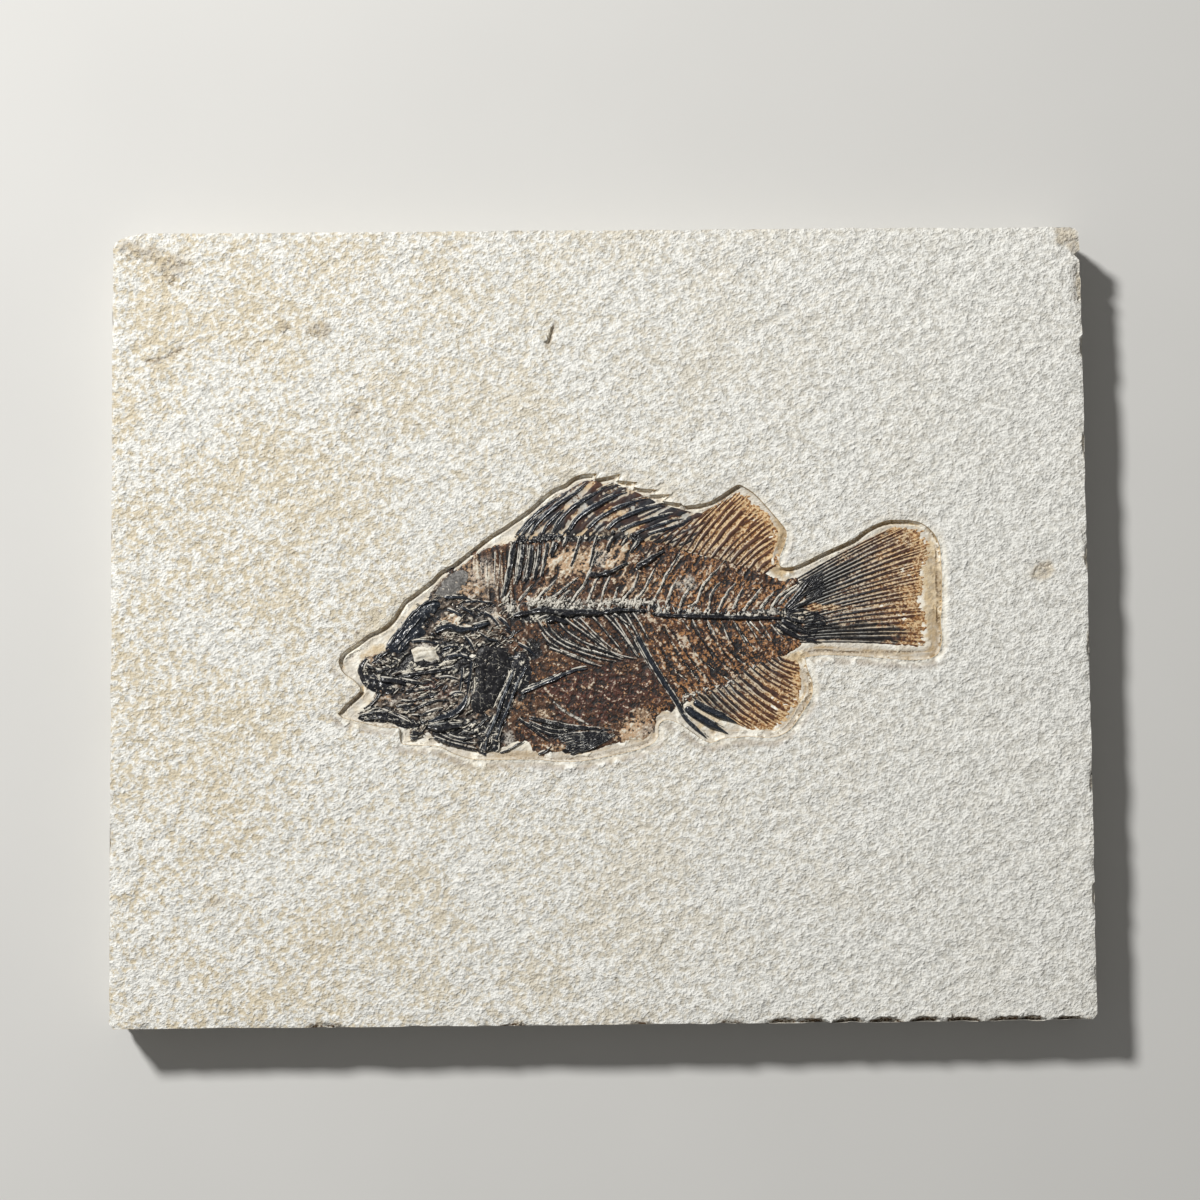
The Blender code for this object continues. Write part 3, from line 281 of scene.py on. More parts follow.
HEAD_GROOVES = drawn(
    (0.5, -47.2, -4.6, -44.6, -1.8, -42.2, 0.4), (0.45, -45.8, -5.4, -43.4, -2.9, -41.2, -1.2),
    (0.5, -43.2, 0.4, -40.6, 2.8, -38.2, 4.2), (0.4, -42.6, -2.4, -40.6, -0.6), (0.4, -46.4, -2.6, -44, 0),
    (0.4, -53.6, -11.6, -51.4, -12.6, -49.8, -13.6), (0.45, -50.4, -12.2, -50.6, -14.8),
    (0.4, -49.4, -14, -46.6, -14.2), (0.4, -53.4, -20.6, -50.4, -20.4, -47, -21.2),
    (0.4, -50.6, -19.4, -50.2, -21.4), (0.4, -47.6, -20, -46.8, -21.8), (0.5, -20.2, -12.6, -25.2, -24.8),
    (0.45, -18.4, -11, -22.8, -22.6), (0.4, -17, -10, -18.4, -13.2),
)
# Thin pale edges of bone and films of calcite that stand on the dark bones
PALE_HEAD_LINES = drawn(
    (1, -47.2, -11.4, -44.4, -10.6, -41, -10.2, -37.4, -9.5, -32.4, -8.1),
    (0.6, -33.8, -16.6, -32.2, -15.9, -31, -16), (0.6, -20, -9.7, -25.2, -21.2),
    (0.5, -29.2, -8.8, -28.6, -11.4, -28.4, -14, -28.9, -16.6),
    (0.35, -24, -6, -22, -6.2, -20, -7, -18, -7.6), (0.35, -20, -3, -17, -6, -15.4, -8.6),
    (0.3, -27, -8.4, -24.6, -9.4, -22.6, -9.6, -21, -9), (0.25, -27.2, -13.6, -25.6, -14.4, -23.8, -14.2),
    (0.6, -41.6, -3.3, -39.2, -3, -34, -3.5), (0.6, -37.2, -0.6, -35.6, 0.4, -33.4, 0.5, -31.4, 0),
    (0.4, -28.2, 3.4, -27.4, 4.3, -25.6, 4.2, -23.6, 3.6), (0.4, -33.4, 2.8, -31.6, 3.4, -29.8, 3.4),
    (0.35, -36.2, -3, -33.8, -3.4, -31.6, -2.9, -29.4, -2.6),
    (0.35, -42, -15.8, -39.8, -15.2, -37.4, -15.4, -35.4, -14.8),
    (0.35, -41, -17.6, -38.8, -17.1, -36.8, -16.4), (0.6, -43, -26.2, -40.8, -25.4, -38.6, -25),
)
RIBS = drawn(
    (0.5, -14.2, 0.6, -12, -2.6, -7.6, -5.6, 0, -8.3, 3.6, -9),
    (0.5, -12.2, 0.6, -11.2, -1.6, -9.2, -3.6, -6.4, -5.1, -2.6, -6.5, 5, -8.6),
    (0.45, -9.8, 0.7, -8.2, -1.4, -5.6, -3.4, -2.4, -5.1, 5, -7.7, 8.2, -8.4),
    (0.45, -8, 1, -6.4, -0.4, 3.2, -7.3, 5, -8.1), (0.4, -6.2, 0.8, -4, -1, 0.6, -5.2),
    (0.45, -11.6, -5.6, -3.4, -8.9, 0.2, -10), (0.35, -9.2, -6.1, -1.8, -9.2), (0.4, -6.4, -7.2, -2, -9.3),
    (0.4, -2.2, 1.6, -0.4, -0.2, 4.8, -6.6), (0.4, 0.2, 2.2, 1.8, 0.8, 4.9, -2.8, 8.2, -7.9),
    (0.4, 2.4, 1.6, 3.8, -0.2, 8.4, -7.8), (0.35, 3, 2, 7, -1),
    (0.4, 5.4, 2, 6.8, -0.2, 9.4, -5.2, 10.6, -8), (0.35, 7.2, 2.2, 8.6, 0.2, 10.9, -4.2),
    (0.4, -13.8, 0.8, -12.6, 1.5, -11.4, 1.8, -10.2, 1.6, -9, 1), (0.35, -13.4, -2, -12, -4, -9.6, -5.6),
    (0.35, -4.8, 1.2, -0.8, -3, 3.8, -7),
)
BLACK_BODY_LINES = drawn(
    (1.2, -19.6, 1.8, -13, 3, -8, 2.3, -4, 2.5, 0, 2.3, 4, 3, 10, 2.6), (0.85, 12, 2, 16, 1.5, 42, 0.7),
    (1, -12.2, 0.5, -10.4, 0.9, -7, 0.1), (0.9, -2.6, 11.1, 0, 10.9, 2.6, 11.7, 4.6, 12.8, 6.4, 13.5),
    (0.9, 8.4, 12.3, 10, 13.5, 14.6, 16.3), (0.6, -12.6, -0.6, -11.6, -2.4, -9.8, -4, -6.4, -5.4),
    (0.6, -10.4, -1.2, -8.8, -2.8, -6, -4.4, -2.6, -5.9, 1.6, -7.2),
    (0.6, -8.6, -0.4, -6.2, -2.4, -3.2, -4.3, 3.4, -7.6), (0.5, -6.6, -0.4, -2.2, -3.6, 0.2, -5.6),
    (0.6, -12.2, -4.6, -5.6, -7.6, -1.6, -8.9), (0.5, -0.8, 0.6, 4.6, -6.2),
    (0.5, 1.2, 1.6, 3, -0.4, 4.8, -2.9, 6.4, -5.6), (0.5, 4.6, 1.4, 6.2, -1, 9, -6.6),
    (0.9, 39.8, -1.2, 41.4, -1.4, 42.6, -2), (0.6, 38.8, 3.7, 40.6, 6, 44.6, 8.4),
    (0.5, -14.6, -13.4, -7, -10.6), (0.5, 9.6, -5, 11.6, -9.2, 16.6, -18.2),
    (0.5, 20.6, 0.2, 21.8, -2.3, 23.9, -5.1, 25.5, -8), (0.5, 24.3, 0, 26.3, -4.7, 29.6, -8.8),
    (0.5, 27.6, -0.6, 30.5, -5.6, 32.5, -7.6), (0.5, 30.7, -0.4, 32.9, -3.9, 35, -6),
    (0.5, 34, 0, 36.4, -2.6, 38.3, -4.2), (0.5, 16.5, -2.3, 20.6, -8.8, 23.9, -12.5),
    (0.5, 19.8, -3.5, 22.2, -8, 28.8, -13), (0.5, 13.6, -5.6, 16.5, -10.5, 19.3, -12.9),
    (0.5, 14.6, -1, 16.4, -5, 19.4, -9.6, 22.4, -13.6), (0.5, 24.8, -6, 27.4, -9.2, 31, -11.6),
    (0.5, 28.6, -5.6, 31, -8.4, 33.6, -10),
)
# The middle of the backbone from head to tail, and the routes of the spines above it and below it
BACKBONE_ROUTE = [
    (-20.6, 3.4), (-10, 3.9), (0, 3.7), (6, 4), (10, 3.7), (15, 2.7), (32, 1.8), (38, 2), (42.6, 2.6),
]
NEURAL_SPINES = [
    [(-22, 4.2), (-20, 7.6)], [(-18.4, 5.2), (-15.2, 9)], [(-14.6, 5.4), (-9.8, 10.2)],
    [(-12.2, 5), (-9.6, 6.6), (-5, 10.6)], [(-10, 4.6), (-6.6, 7.6)],
    [(-6.8, 4.6), (-3.6, 8.8), (-0.6, 16.4)], [(-2.9, 4.8), (-0.2, 11)], [(0.2, 4.8), (1, 7.6), (2.4, 11)],
    [(3, 5), (4, 8.2)], [(5, 5.2), (7.8, 8.6), (8.8, 11.6)],
    [(7.4, 4.8), (9.2, 6.4), (10.4, 8.2), (12.4, 12.4)],
    [(11.8, 4.6), (13.2, 6.8), (15.2, 11), (18.2, 15.9)], [(14.9, 4.2), (16.4, 8), (17.6, 10.2)],
    [(18, 3.6), (19, 5.8), (20.6, 8.4)], [(20.4, 3.2), (21.8, 4.8), (22.5, 6.6), (24.6, 10), (28.6, 14)],
    [(24.4, 3), (25.6, 7), (27.2, 9.2)], [(26.8, 2.6), (28.6, 6.6), (30.8, 9)],
    [(30, 2.8), (31.2, 5.6), (32.6, 8.2)], [(32.2, 2.4), (36.6, 8)],
    [(36.2, 2.8), (37.8, 5.2), (39.4, 6.9)], [(38.8, 3.2), (40.6, 5.8), (44.4, 8.2)],
    [(40.4, 3.8), (42.8, 6.2), (46, 9), (48, 10.4)],
]
HAEMAL_SPINES = [
    [(18.2, 1), (20.8, -2.6)], [(20.8, 0.8), (22.6, -2.8)], [(24.2, 0.6), (26.2, -3.4)],
    [(27.4, 0.2), (29.8, -6)], [(30.2, 0.2), (33.4, -6.2)], [(33, 0.2), (36.2, -4.8)],
    [(36, 0.2), (38.8, -4.2)], [(38.6, -0.6), (40.2, -2.6), (42, -4.4)], [(40.2, 0), (45, -3.8)],
]
# Blades that carry the spiny fin, and the rod that carries the anal spines
FIN_SUPPORTS = drawn(
    (1.3, -19.2, 18.2, -20.2, 12.4, -21.9, 5.8), (1.1, -17.2, 18, -17.6, 14.6, -18.8, 8.8),
    (1.1, -15.2, 18, -15.5, 14.6, -16.2, 11.2, -16.9, 9.4), (0.8, -13.4, 18, -13.6, 15, -14.7, 10.2),
    (0.9, -11.6, 18.3, -12, 15.4, -13, 10.6), (1.4, -9.8, 18.6, -10.8, 15), (0.7, -7.2, 19.6, -8, 17.4),
    (0.6, -4.4, 19.2, -5.2, 16, -6.4, 12.8), (0.6, -0.4, 19.8, -1.2, 17.4, -2, 13.2),
    (0.8, 3.4, 19.6, 2.4, 18, 1.8, 16.4), (0.6, 6.4, 19.2, 5.2, 17.4), (0.8, 9, 18.8, 7.2, 15.8),
)
PALE_SUPPORT_LINES = drawn(
    (0.32, -20.1, 17.8, -21.2, 9.6, -22.4, 5.6), (0.3, -18.2, 17.9, -18.6, 14, -19.5, 9),
    (0.28, -16.2, 17.9, -16.6, 14, -17.5, 9.6), (0.28, -14.3, 18, -14.6, 14.6, -15.4, 10.6),
    (0.26, -12.6, 18, -12.9, 14.8, -13.6, 11.2), (0.3, -23.6, 16.4, -24, 8), (0.3, -25.6, 14.5, -25.4, 9),
    (0.28, -26.9, 14, -26.6, 11.6), (0.26, -22.4, 15.6, -23, 9.2),
    (0.3, 12.6, -9.4, 14.2, -12.6, 16.6, -16.4, 18.4, -18.8), (0.3, 7.6, -3.6, 11.8, -11.6),
)
DORSAL_BASE_ROUTE = [(-19.6, 19), (-2, 20.1), (4, 20), (9.6, 19.3)]
ANAL_SUPPORT = (1.3, [(8.2, -2.6), (12.4, -10.4), (17.4, -18.4), (18.4, -20.4)])
ANAL_BASE_ROUTE = [
    (18, -17.4), (22.6, -15.6), (25.4, -15), (28.6, -14), (31, -12.8), (33.4, -11), (36, -9.4),
]
DORSAL_SPINES = drawn(
    (0.8, -18.8, 20, -14.8, 24.5, -11.4, 27.2, -8.6, 28.9), (0.8, -17.4, 20.2, -16.2, 22, -12.4, 25.6),
    (1.2, -15.6, 20.2, -14.2, 22.6, -12, 24.9, -9.4, 27, -6, 29.2, -2.4, 31.9),
    (0.9, -12.8, 20.4, -11.8, 22.4, -8, 25.9),
    (1, -10.4, 20.6, -9.4, 22.6, -7.6, 24.9, -5.4, 26.8, 0.8, 30.4, 3.4, 31.6),
    (1.5, -6.8, 21, -5.2, 23.3, -3, 25.3, 3, 28.6, 6.4, 29.7),
    (1.1, -2.6, 21.3, -0.6, 23.3, 2, 25, 5, 26.5, 8.4, 27.7, 11.6, 28.3),
    (1.3, 1.8, 21.1, 3.6, 22.9, 6, 24.2, 9.4, 25.5, 12.4, 26.3, 15, 26.6),
    (1, 4.8, 20.7, 7.4, 22.1, 13.6, 24, 17.2, 24.7), (0.8, 8.2, 20.2, 10.8, 21.3, 17, 23.2, 19.2, 23.6),
    (0.8, 11, 19.9, 13.4, 20.8, 15.8, 21.4, 19.4, 22.6),
)
ANAL_SPINES = drawn(
    (1, 18.2, -20.6, 19.8, -22.5, 23.9, -26.3), (2, 19.2, -19.1, 20.6, -20.5, 25.8, -23.7, 28.6, -25.2),
    (1.8, 20.9, -17.9, 23.6, -19.5, 30.8, -22.9),
)
TAIL_ROOTS = drawn(
    (1.2, 42, 3, 43.8, 4.8, 48, 9.9), (0.9, 42.4, 2.8, 48.4, 7.8), (1, 42.6, 2.4, 48.6, 5.4),
    (0.8, 42.4, 2, 46.8, 2.6), (0.8, 42.2, 1.6, 44.2, 1.3, 46.6, 1.4), (1.2, 42, 1.2, 44, 0.2, 46.4, -0.4),
    (1.6, 41, 0.2, 45, -2, 46.8, -2.6), (1.4, 40, -0.8, 42, -2.2, 44.6, -3.6, 46.4, -4.2),
)
# Rayed fins: routes along the root and the free edge, number of rays, how far they bow, how far the root
# is tucked under the skin, cells across and along, and how ripe the colour is at the root and on from it
RAYED_FINS = {
    "soft_dorsal_fin": {
        "root": [(12.4, 19.2), (30, 14.2), (38.6, 11)],
        "edge": [(23.2, 24.5), (28.4, 28.2), (31.2, 30), (33.9, 29.6), (37.1, 27), (39.8, 23.7), (41.6, 20),
                 (41.1, 16), (40.6, 12.6)],
        "rays": 18, "bow": 0.6, "tuck": 2, "cells": (250, 70), "ripeness": (0.45, 0.55),
    },
    "tail_fin": {
        "root": [(45.6, 10.6), (47.2, 8.6), (47.6, 4.4), (47, -0.6), (45.4, -5)],
        "edge": [(68, 22.1), (71.8, 21.8), (74.6, 20.1), (76, 16), (74.6, 12.2), (74.9, 9.9), (73.8, 6.5),
                 (72.9, 4.7), (74.5, 2.7), (74.9, -1.4), (74.4, -5), (73.4, -6.2)],
        "rays": 24, "bow": 0.5, "tuck": 2, "cells": (330, 110), "ripeness": (-0.1, 1),
    },
    "anal_fin": {
        "root": [(20.6, -17.4), (24, -16.2), (28, -15), (31, -12.8), (34.4, -10.7), (38.6, -8.8),
                 (42.2, -7.6)],
        "edge": [(31.4, -23.2), (34.4, -24.9), (37.8, -25.2), (41.2, -23.9), (43.8, -21.2), (45.6, -17.6),
                 (46, -13.8), (45.6, -10.6), (44.6, -8.4)],
        "rays": 16, "bow": -0.7, "tuck": 2, "cells": (240, 70), "ripeness": (0.2, 0.8),
    },
}
PELVIC_SPINE = (0.8, [(-10.6, -17.7), (-9, -19.2), (-6.8, -20.7), (-2.9, -22.8)])
PELVIC_RODS = drawn(
    (1.1, -16.2, -21.4, -13.2, -22, -6.4, -23.5, 2.9, -24.3), (0.8, -18.7, -21.4, -11.6, -26.8),
    (0.8, -16.4, -22.2, -12.8, -23.7, -9.8, -24.4, -7.2, -24.2),
    (0.7, -17.2, -22.4, -14.2, -24, -11.2, -25.2, -8.6, -25.2),
)
# The upper and the lower ray of the folded pelvic fin
PELVIC_FAN = [[(-9.8, -25.4), (-5.2, -24.8), (1, -24.6)], [(-6.8, -29.8), (-2.4, -28.7), (3.4, -25.6)]]
SPINY_WEB = [
    (-19.8, 18.8), (-16.2, 23.4), (-10.4, 28.4), (-4.6, 31.7), (-2, 32.7), (0.6, 31.9), (3.6, 31.8),
    (10.6, 28.8), (13.6, 27.2), (20.6, 25.2), (23.8, 24.6), (24.4, 22.4), (20, 17.4), (12, 18.2),
    (0, 19.4), (-10, 19),
]
FLOOR_STAINS = [
    (24, -21, 6, 3.6, -40, 0.5), (9, -24.4, 5, 2.8, 10, 0.45), (-51.6, -6.8, 3.4, 1.8, 30, 0.5),
    (-18, -29.6, 9, 1, 0, 0.45), (75.2, 6, 3.2, 16, 0, 0.55), (58, -7.4, 14, 0.9, 0, 0.4),
    (41, 12, 3, 2.2, 0, 0.6), (41.4, 18, 1.6, 7, 8, 0.6), (-52, -17, 3, 1.6, -30, 0.35),
    (44, -8, 3.6, 1.6, 10, 0.6),
]
FIN_CHAR = [
    (49.6, 6.6, 7, 3.4, 32, 0.8), (53, 10.2, 8, 2.4, 34, 0.7), (51.5, -2.4, 8.4, 2.8, -3, 0.9),
    (59, -3, 11, 3, -2, 1), (66, -3, 7, 2.6, 0, 0.5), (59, 14, 5, 2, 36, 0.45), (60, 2, 7, 1.6, 5, 0.35),
    (47, 1, 2.6, 4.6, 0, 0.75), (21, 20.4, 6, 1.6, 24, 0.45), (18, 18.2, 6, 1.8, 0, 0.5),
    (27, -18.8, 6, 2, -20, 0.6), (24.4, -17.2, 3, 1.4, -10, 0.8), (33, -13, 4, 1.4, 20, 0.3),
]
FIN_GAPS = [
    (49, 3.2, 2.4, 1.2, -4, 1), (51.6, 3.2, 2.6, 0.8, -2, 0.9), (54.6, 3.1, 3, 0.45, 0, 0.6),
]
GILL_COVER_OUTLINE = [
    (-27.8, -6), (-25.6, -4.9), (-23, -5), (-20.6, -6.6), (-19.6, -9.2), (-20.6, -12.2), (-23.8, -18),
    (-25.4, -19.9), (-27.6, -20.4), (-29.2, -18.6), (-28.9, -15), (-28.3, -12), (-28.2, -8.8),
]
GILL_GROOVES = drawn(
    (0.5, -27.4, -9, -24.6, -8.2, -21.4, -9.6), (0.4, -27.6, -12.4, -24.4, -12.8, -22, -12),
    (0.4, -26.6, -15.8, -24.4, -15.4), (0.5, -24.6, -6, -25.6, -10, -26, -15),
    (0.35, -22.6, -7.4, -23.2, -11, -24, -14.4), (0.35, -27.6, -17, -26, -18.4),
)
SOCKET_OUTLINE = [
    (-42.7, -5.3), (-40.8, -4.6), (-38.4, -4.9), (-36.9, -5), (-37.1, -6.4), (-36.3, -7.5), (-37.8, -8.5),
    (-40, -8), (-42, -8.5), (-42.3, -7),
]
SOCKET_GROOVES = drawn(
    (0.4, -41.6, -6.6, -39.4, -5.9, -37.4, -6), (0.5, -41.6, -7.8, -39, -7.3, -37, -7.4),
)
HEAD_REGION = [
    (-41, 4.4), (-32, 7), (-21, 4.6), (-19, 1), (-17, -9), (-17.6, -14), (-22.6, -24), (-26, -28.6),
    (-36, -25.8), (-42, -24.8), (-43.6, -22.6), (-54.4, -20.4), (-51.6, -18.8), (-46, -17.8),
    (-45.4, -15.6), (-50.4, -15), (-53.8, -12), (-53.4, -8.2), (-49.6, -6.8),
]

GRAIN_TABLE = np.random.default_rng(41).uniform(-1.0, 1.0, (257, 257))


def noise(x, y, length, seed):
    """Smooth noise from -1 to 1 whose lumps are about one length across."""
    u = np.asarray(x, float) / length
    v = np.asarray(y, float) / length
    i = np.floor(u)
    j = np.floor(v)
    s = u - i
    t = v - j
    s = s * s * (3.0 - 2.0 * s)
    t = t * t * (3.0 - 2.0 * t)
    column = (i.astype(int) + 37 * seed) % 256
    row = (j.astype(int) + 91 * seed) % 256
    near = GRAIN_TABLE[column, row] * (1.0 - s) + GRAIN_TABLE[column + 1, row] * s
    far = GRAIN_TABLE[column, row + 1] * (1.0 - s) + GRAIN_TABLE[column + 1, row + 1] * s
    return near * (1.0 - t) + far * t


def streaks(x, y, length, width, degrees, seed):
    """Noise drawn out along a direction, as fibres and brush marks are."""
    angle = math.radians(degrees)
    along = x * math.cos(angle) + y * math.sin(angle)
    across = y * math.cos(angle) - x * math.sin(angle)
    return noise(along * width / length, across, width, seed)


def ramp(low, high, value):
    share = np.clip((value - low) / (high - low), 0.0, 1.0)
    return share * share * (3.0 - 2.0 * share)


def smooth_route(points, step, closed=False):
    """A curve through the points, at about even steps, that turns sharply only where the points do."""
    knots = [np.array(p, float) for p in points]
    count = len(knots)
    curve = []
    spans = count if closed else count - 1
    for i in range(spans):
        here = knots[i]
        there = knots[(i + 1) % count]
        before = knots[i - 1] if closed or i else here
        after = knots[(i + 2) % count] if closed or i + 2 < count else there
        leave = bend(before, here, there)
        arrive = bend(here, there, after)
        steps = max(1, int(round(np.linalg.norm(there - here) / step)))
        for k in range(steps):
            t = k / steps
            a = 2 * t**3 - 3 * t**2 + 1
            b = t**3 - 2 * t**2 + t
            c = -2 * t**3 + 3 * t**2
            d = t**3 - t**2
            curve.append(a * here + b * leave + c * there + d * arrive)
    if not closed:
        curve.append(knots[-1])
    return np.array(curve)


def bend(before, here, after):
    """The heading of the curve at a point, which is nothing at a sharp corner."""
    back = here - before
    on = after - here
    lengths = np.linalg.norm(back), np.linalg.norm(on)
    if min(lengths) < 1e-9:
        return 0.5 * (after - before)
    if np.dot(back, on) < 0.1 * lengths[0] * lengths[1]:
        return np.zeros(len(here))
    heading = 0.5 * (after - before)
    return heading * min(1.0, 1.2 * min(lengths) / np.linalg.norm(heading))


def share_points(route, shares):
    """Points at shares of the length of a route."""
    lengths = np.concatenate([[0.0], np.cumsum(np.linalg.norm(np.diff(route, axis=0), axis=1))])
    at = np.asarray(shares) * lengths[-1]
    return np.stack([np.interp(at, lengths, route[:, k]) for k in range(route.shape[1])], 1)


def nearest_on(segments, x, y):
    """For each point, its distance from a chain of segments and the nearest point on it."""
    start, end = segments
    gap = end - start
    square = np.maximum((gap**2).sum(1), 1e-12)
    distance = np.empty(len(x))
    nearest = np.empty((len(x), 2))
    block = 3000
    for first in range(0, len(x), block):
        px = x[first:first + block, None]
        py = y[first:first + block, None]
        share = ((px - start[:, 0]) * gap[:, 0] + (py - start[:, 1]) * gap[:, 1]) / square
        share = np.clip(share, 0.0, 1.0)
        qx = start[:, 0] + share * gap[:, 0]
        qy = start[:, 1] + share * gap[:, 1]
        squares = (px - qx) ** 2 + (py - qy) ** 2
        best = squares.argmin(1)
        rows = np.arange(len(best))
        distance[first:first + block] = np.sqrt(squares[rows, best])
        nearest[first:first + block, 0] = qx[rows, best]
        nearest[first:first + block, 1] = qy[rows, best]
    return distance, nearest


# A step so long that an outline keeps its own points
STRAIGHT = 1000.0


class Outline:
    """A smoothed closed outline that can say what lies inside it and how far off."""

    def __init__(self, points, step):
        self.loop = smooth_route(points, step, closed=True)
        self.segments = (self.loop, np.roll(self.loop, -1, axis=0))

    def inside(self, x, y):
        start, end = self.segments
        result = np.zeros(len(x), bool)
        for (x0, y0), (x1, y1) in zip(start, end):
            if y0 == y1:
                continue
            crosses = (y0 > y) != (y1 > y)
            result ^= crosses & (x < (x1 - x0) * (y - y0) / (y1 - y0) + x0)
        return result

    def depth(self, x, y):
        """How far inside the outline each point is, negative outside, and the nearest point on it."""
        distance, nearest = nearest_on(self.segments, x, y)
        return np.where(self.inside(x, y), distance, -distance), nearest

    def moved(self, amount):
        """The same loop moved inwards by an amount."""
        run = np.roll(self.loop, -1, axis=0) - np.roll(self.loop, 1, axis=0)
        run /= np.maximum(np.linalg.norm(run, axis=1, keepdims=True), 1e-9)
        inward = np.stack([run[:, 1], -run[:, 0]], 1)
        return self.loop + amount * inward


def patch_field(x, y, patches, seed):
    """How strongly a set of soft-edged patches covers each point, from 0 to 1."""
    cover = np.zeros(len(x))
    wobble = 0.3 * noise(x, y, 1.7, seed) + 0.22 * noise(x, y, 0.7, seed + 1)
    for cx, cy, rx, ry, turn, strength in patches:
        angle = math.radians(turn)
        along = (x - cx) * math.cos(angle) + (y - cy) * math.sin(angle)
        across = (y - cy) * math.cos(angle) - (x - cx) * math.sin(angle)
        reach = np.sqrt((along / rx) ** 2 + (across / ry) ** 2)
        here = strength * (1.0 - ramp(0.55, 1.15, reach + wobble))
        cover = np.maximum(cover, here)
    return cover


def stroke_field(x, y, strokes):
    """Height from 0 to 1 of tapered strokes at each point."""
    field = np.zeros(len(x))
    for width, route in strokes:
        curve = smooth_route(route, 0.8)
        low = curve.min(0) - width
        high = curve.max(0) + width
        near = np.flatnonzero((x > low[0]) & (x < high[0]) & (y > low[1]) & (y < high[1]))
        if not len(near):
            continue
        distance, _ = nearest_on((curve[:-1], curve[1:]), x[near], y[near])
        height = np.clip(1.0 - (distance / (0.5 * width)) ** 2, 0.0, 1.0)
        field[near] = np.maximum(field[near], height)
    return field


def deselect():
    bpy.ops.object.select_all(action="DESELECT")


def pick(obj):
    """Makes an object active, and the only one that is selected."""
    deselect()
    bpy.context.view_layer.objects.active = obj
    obj.select_set(True)


def points_of(obj):
    flat = np.empty(3 * len(obj.data.vertices))
    obj.data.vertices.foreach_get("co", flat)
    return flat.reshape(-1, 3) / MM


def place_points(obj, points):
    obj.data.vertices.foreach_set("co", (np.asarray(points) * MM).ravel())
    obj.data.update()


def paint(obj, **fields):
    """Keeps values for each vertex, which a material reads by name."""
    for name, values in fields.items():
        layer = obj.data.attributes.new(name, "FLOAT", "POINT")
        layer.data.foreach_set("value", np.asarray(values, np.float32))


def edit(obj):
    pick(obj)
    bpy.ops.object.mode_set(mode="EDIT")


def leave_edit():
    bpy.ops.object.mode_set(mode="OBJECT")


def select_points(obj, mask):
    """Selects vertices in object mode, with nothing else selected."""
    edit(obj)
    bpy.ops.mesh.select_mode(type="VERT")
    bpy.ops.mesh.select_all(action="DESELECT")
    leave_edit()
    obj.data.vertices.foreach_set("select", np.asarray(mask, bool))


def rim_points(obj):
    """Which vertices lie on an open edge."""
    edges = np.empty(2 * len(obj.data.edges), int)
    obj.data.edges.foreach_get("vertices", edges)
    edges = edges.reshape(-1, 2)
    uses = np.zeros(len(edges), int)
    loops = np.empty(len(obj.data.loops), int)
    obj.data.loops.foreach_get("edge_index", loops)
    np.add.at(uses, loops, 1)
    mask = np.zeros(len(obj.data.vertices), bool)
    mask[edges[uses == 1].ravel()] = True
    return mask


def unit_grid(columns, rows):
    """A flat grid, and the places of its points from 0 to 1 both ways."""
    deselect()
    bpy.ops.mesh.primitive_grid_add(x_subdivisions=columns, y_subdivisions=rows, size=1.0)
    sheet = bpy.context.object
    return sheet, points_of(sheet) * MM + (0.5, 0.5, 0.0)


def cut_sheet(outline, cell):
    """A flat grid trimmed to an outline, with its rim drawn exactly onto it."""
    low = outline.loop.min(0) - cell
    size = outline.loop.max(0) + cell - low
    sheet, flat = unit_grid(*(max(2, int(round(side / cell))) for side in size))
    flat[:, :2] = flat[:, :2] * size + low
    place_points(sheet, flat)
    depth, _ = outline.depth(flat[:, 0], flat[:, 1])
    select_points(sheet, depth < -0.45 * cell)
    edit(sheet)
    bpy.ops.mesh.delete(type="VERT")
    bpy.ops.mesh.select_all(action="SELECT")
    bpy.ops.mesh.delete_loose(use_verts=True, use_edges=True, use_faces=False)
    leave_edit()
    flat = points_of(sheet)
    rim = rim_points(sheet)
    _, nearest = outline.depth(flat[rim, 0], flat[rim, 1])
    flat[rim, :2] = nearest
    place_points(sheet, flat)
    return sheet


def close_below(obj, bed):
    """Drops a wall from the rim of an open sheet to a flat underside."""
    edit(obj)
    bpy.ops.mesh.select_mode(type="EDGE")
    bpy.ops.mesh.select_all(action="DESELECT")
    bpy.ops.mesh.select_non_manifold(extend=False, use_wire=False, use_boundary=True,
                                     use_multi_face=False, use_non_contiguous=False, use_verts=False)
    bpy.ops.mesh.extrude_edges_move(TRANSFORM_OT_translate={"value": (0.0, 0.0, -0.1 * MM)})
    bpy.ops.transform.resize(value=(1.0, 1.0, 0.0), center_override=(0.0, 0.0, bed * MM))
    bpy.ops.mesh.edge_face_add()
    face_outwards()


def face_outwards():
    """Turns every face of the mesh in edit mode outwards, and leaves edit mode."""
    bpy.ops.mesh.select_all(action="SELECT")
    bpy.ops.mesh.normals_make_consistent(inside=False)
    leave_edit()


def smooth_faces(obj, degrees):
    pick(obj)
    bpy.ops.object.shade_smooth_by_angle(angle=math.radians(degrees))


def empty_curve(name, dimensions):
    deselect()
    bpy.ops.curve.primitive_bezier_curve_add()
    obj = bpy.context.object
    obj.name = name
    obj.data.splines.clear()
    obj.data.dimensions = dimensions
    return obj


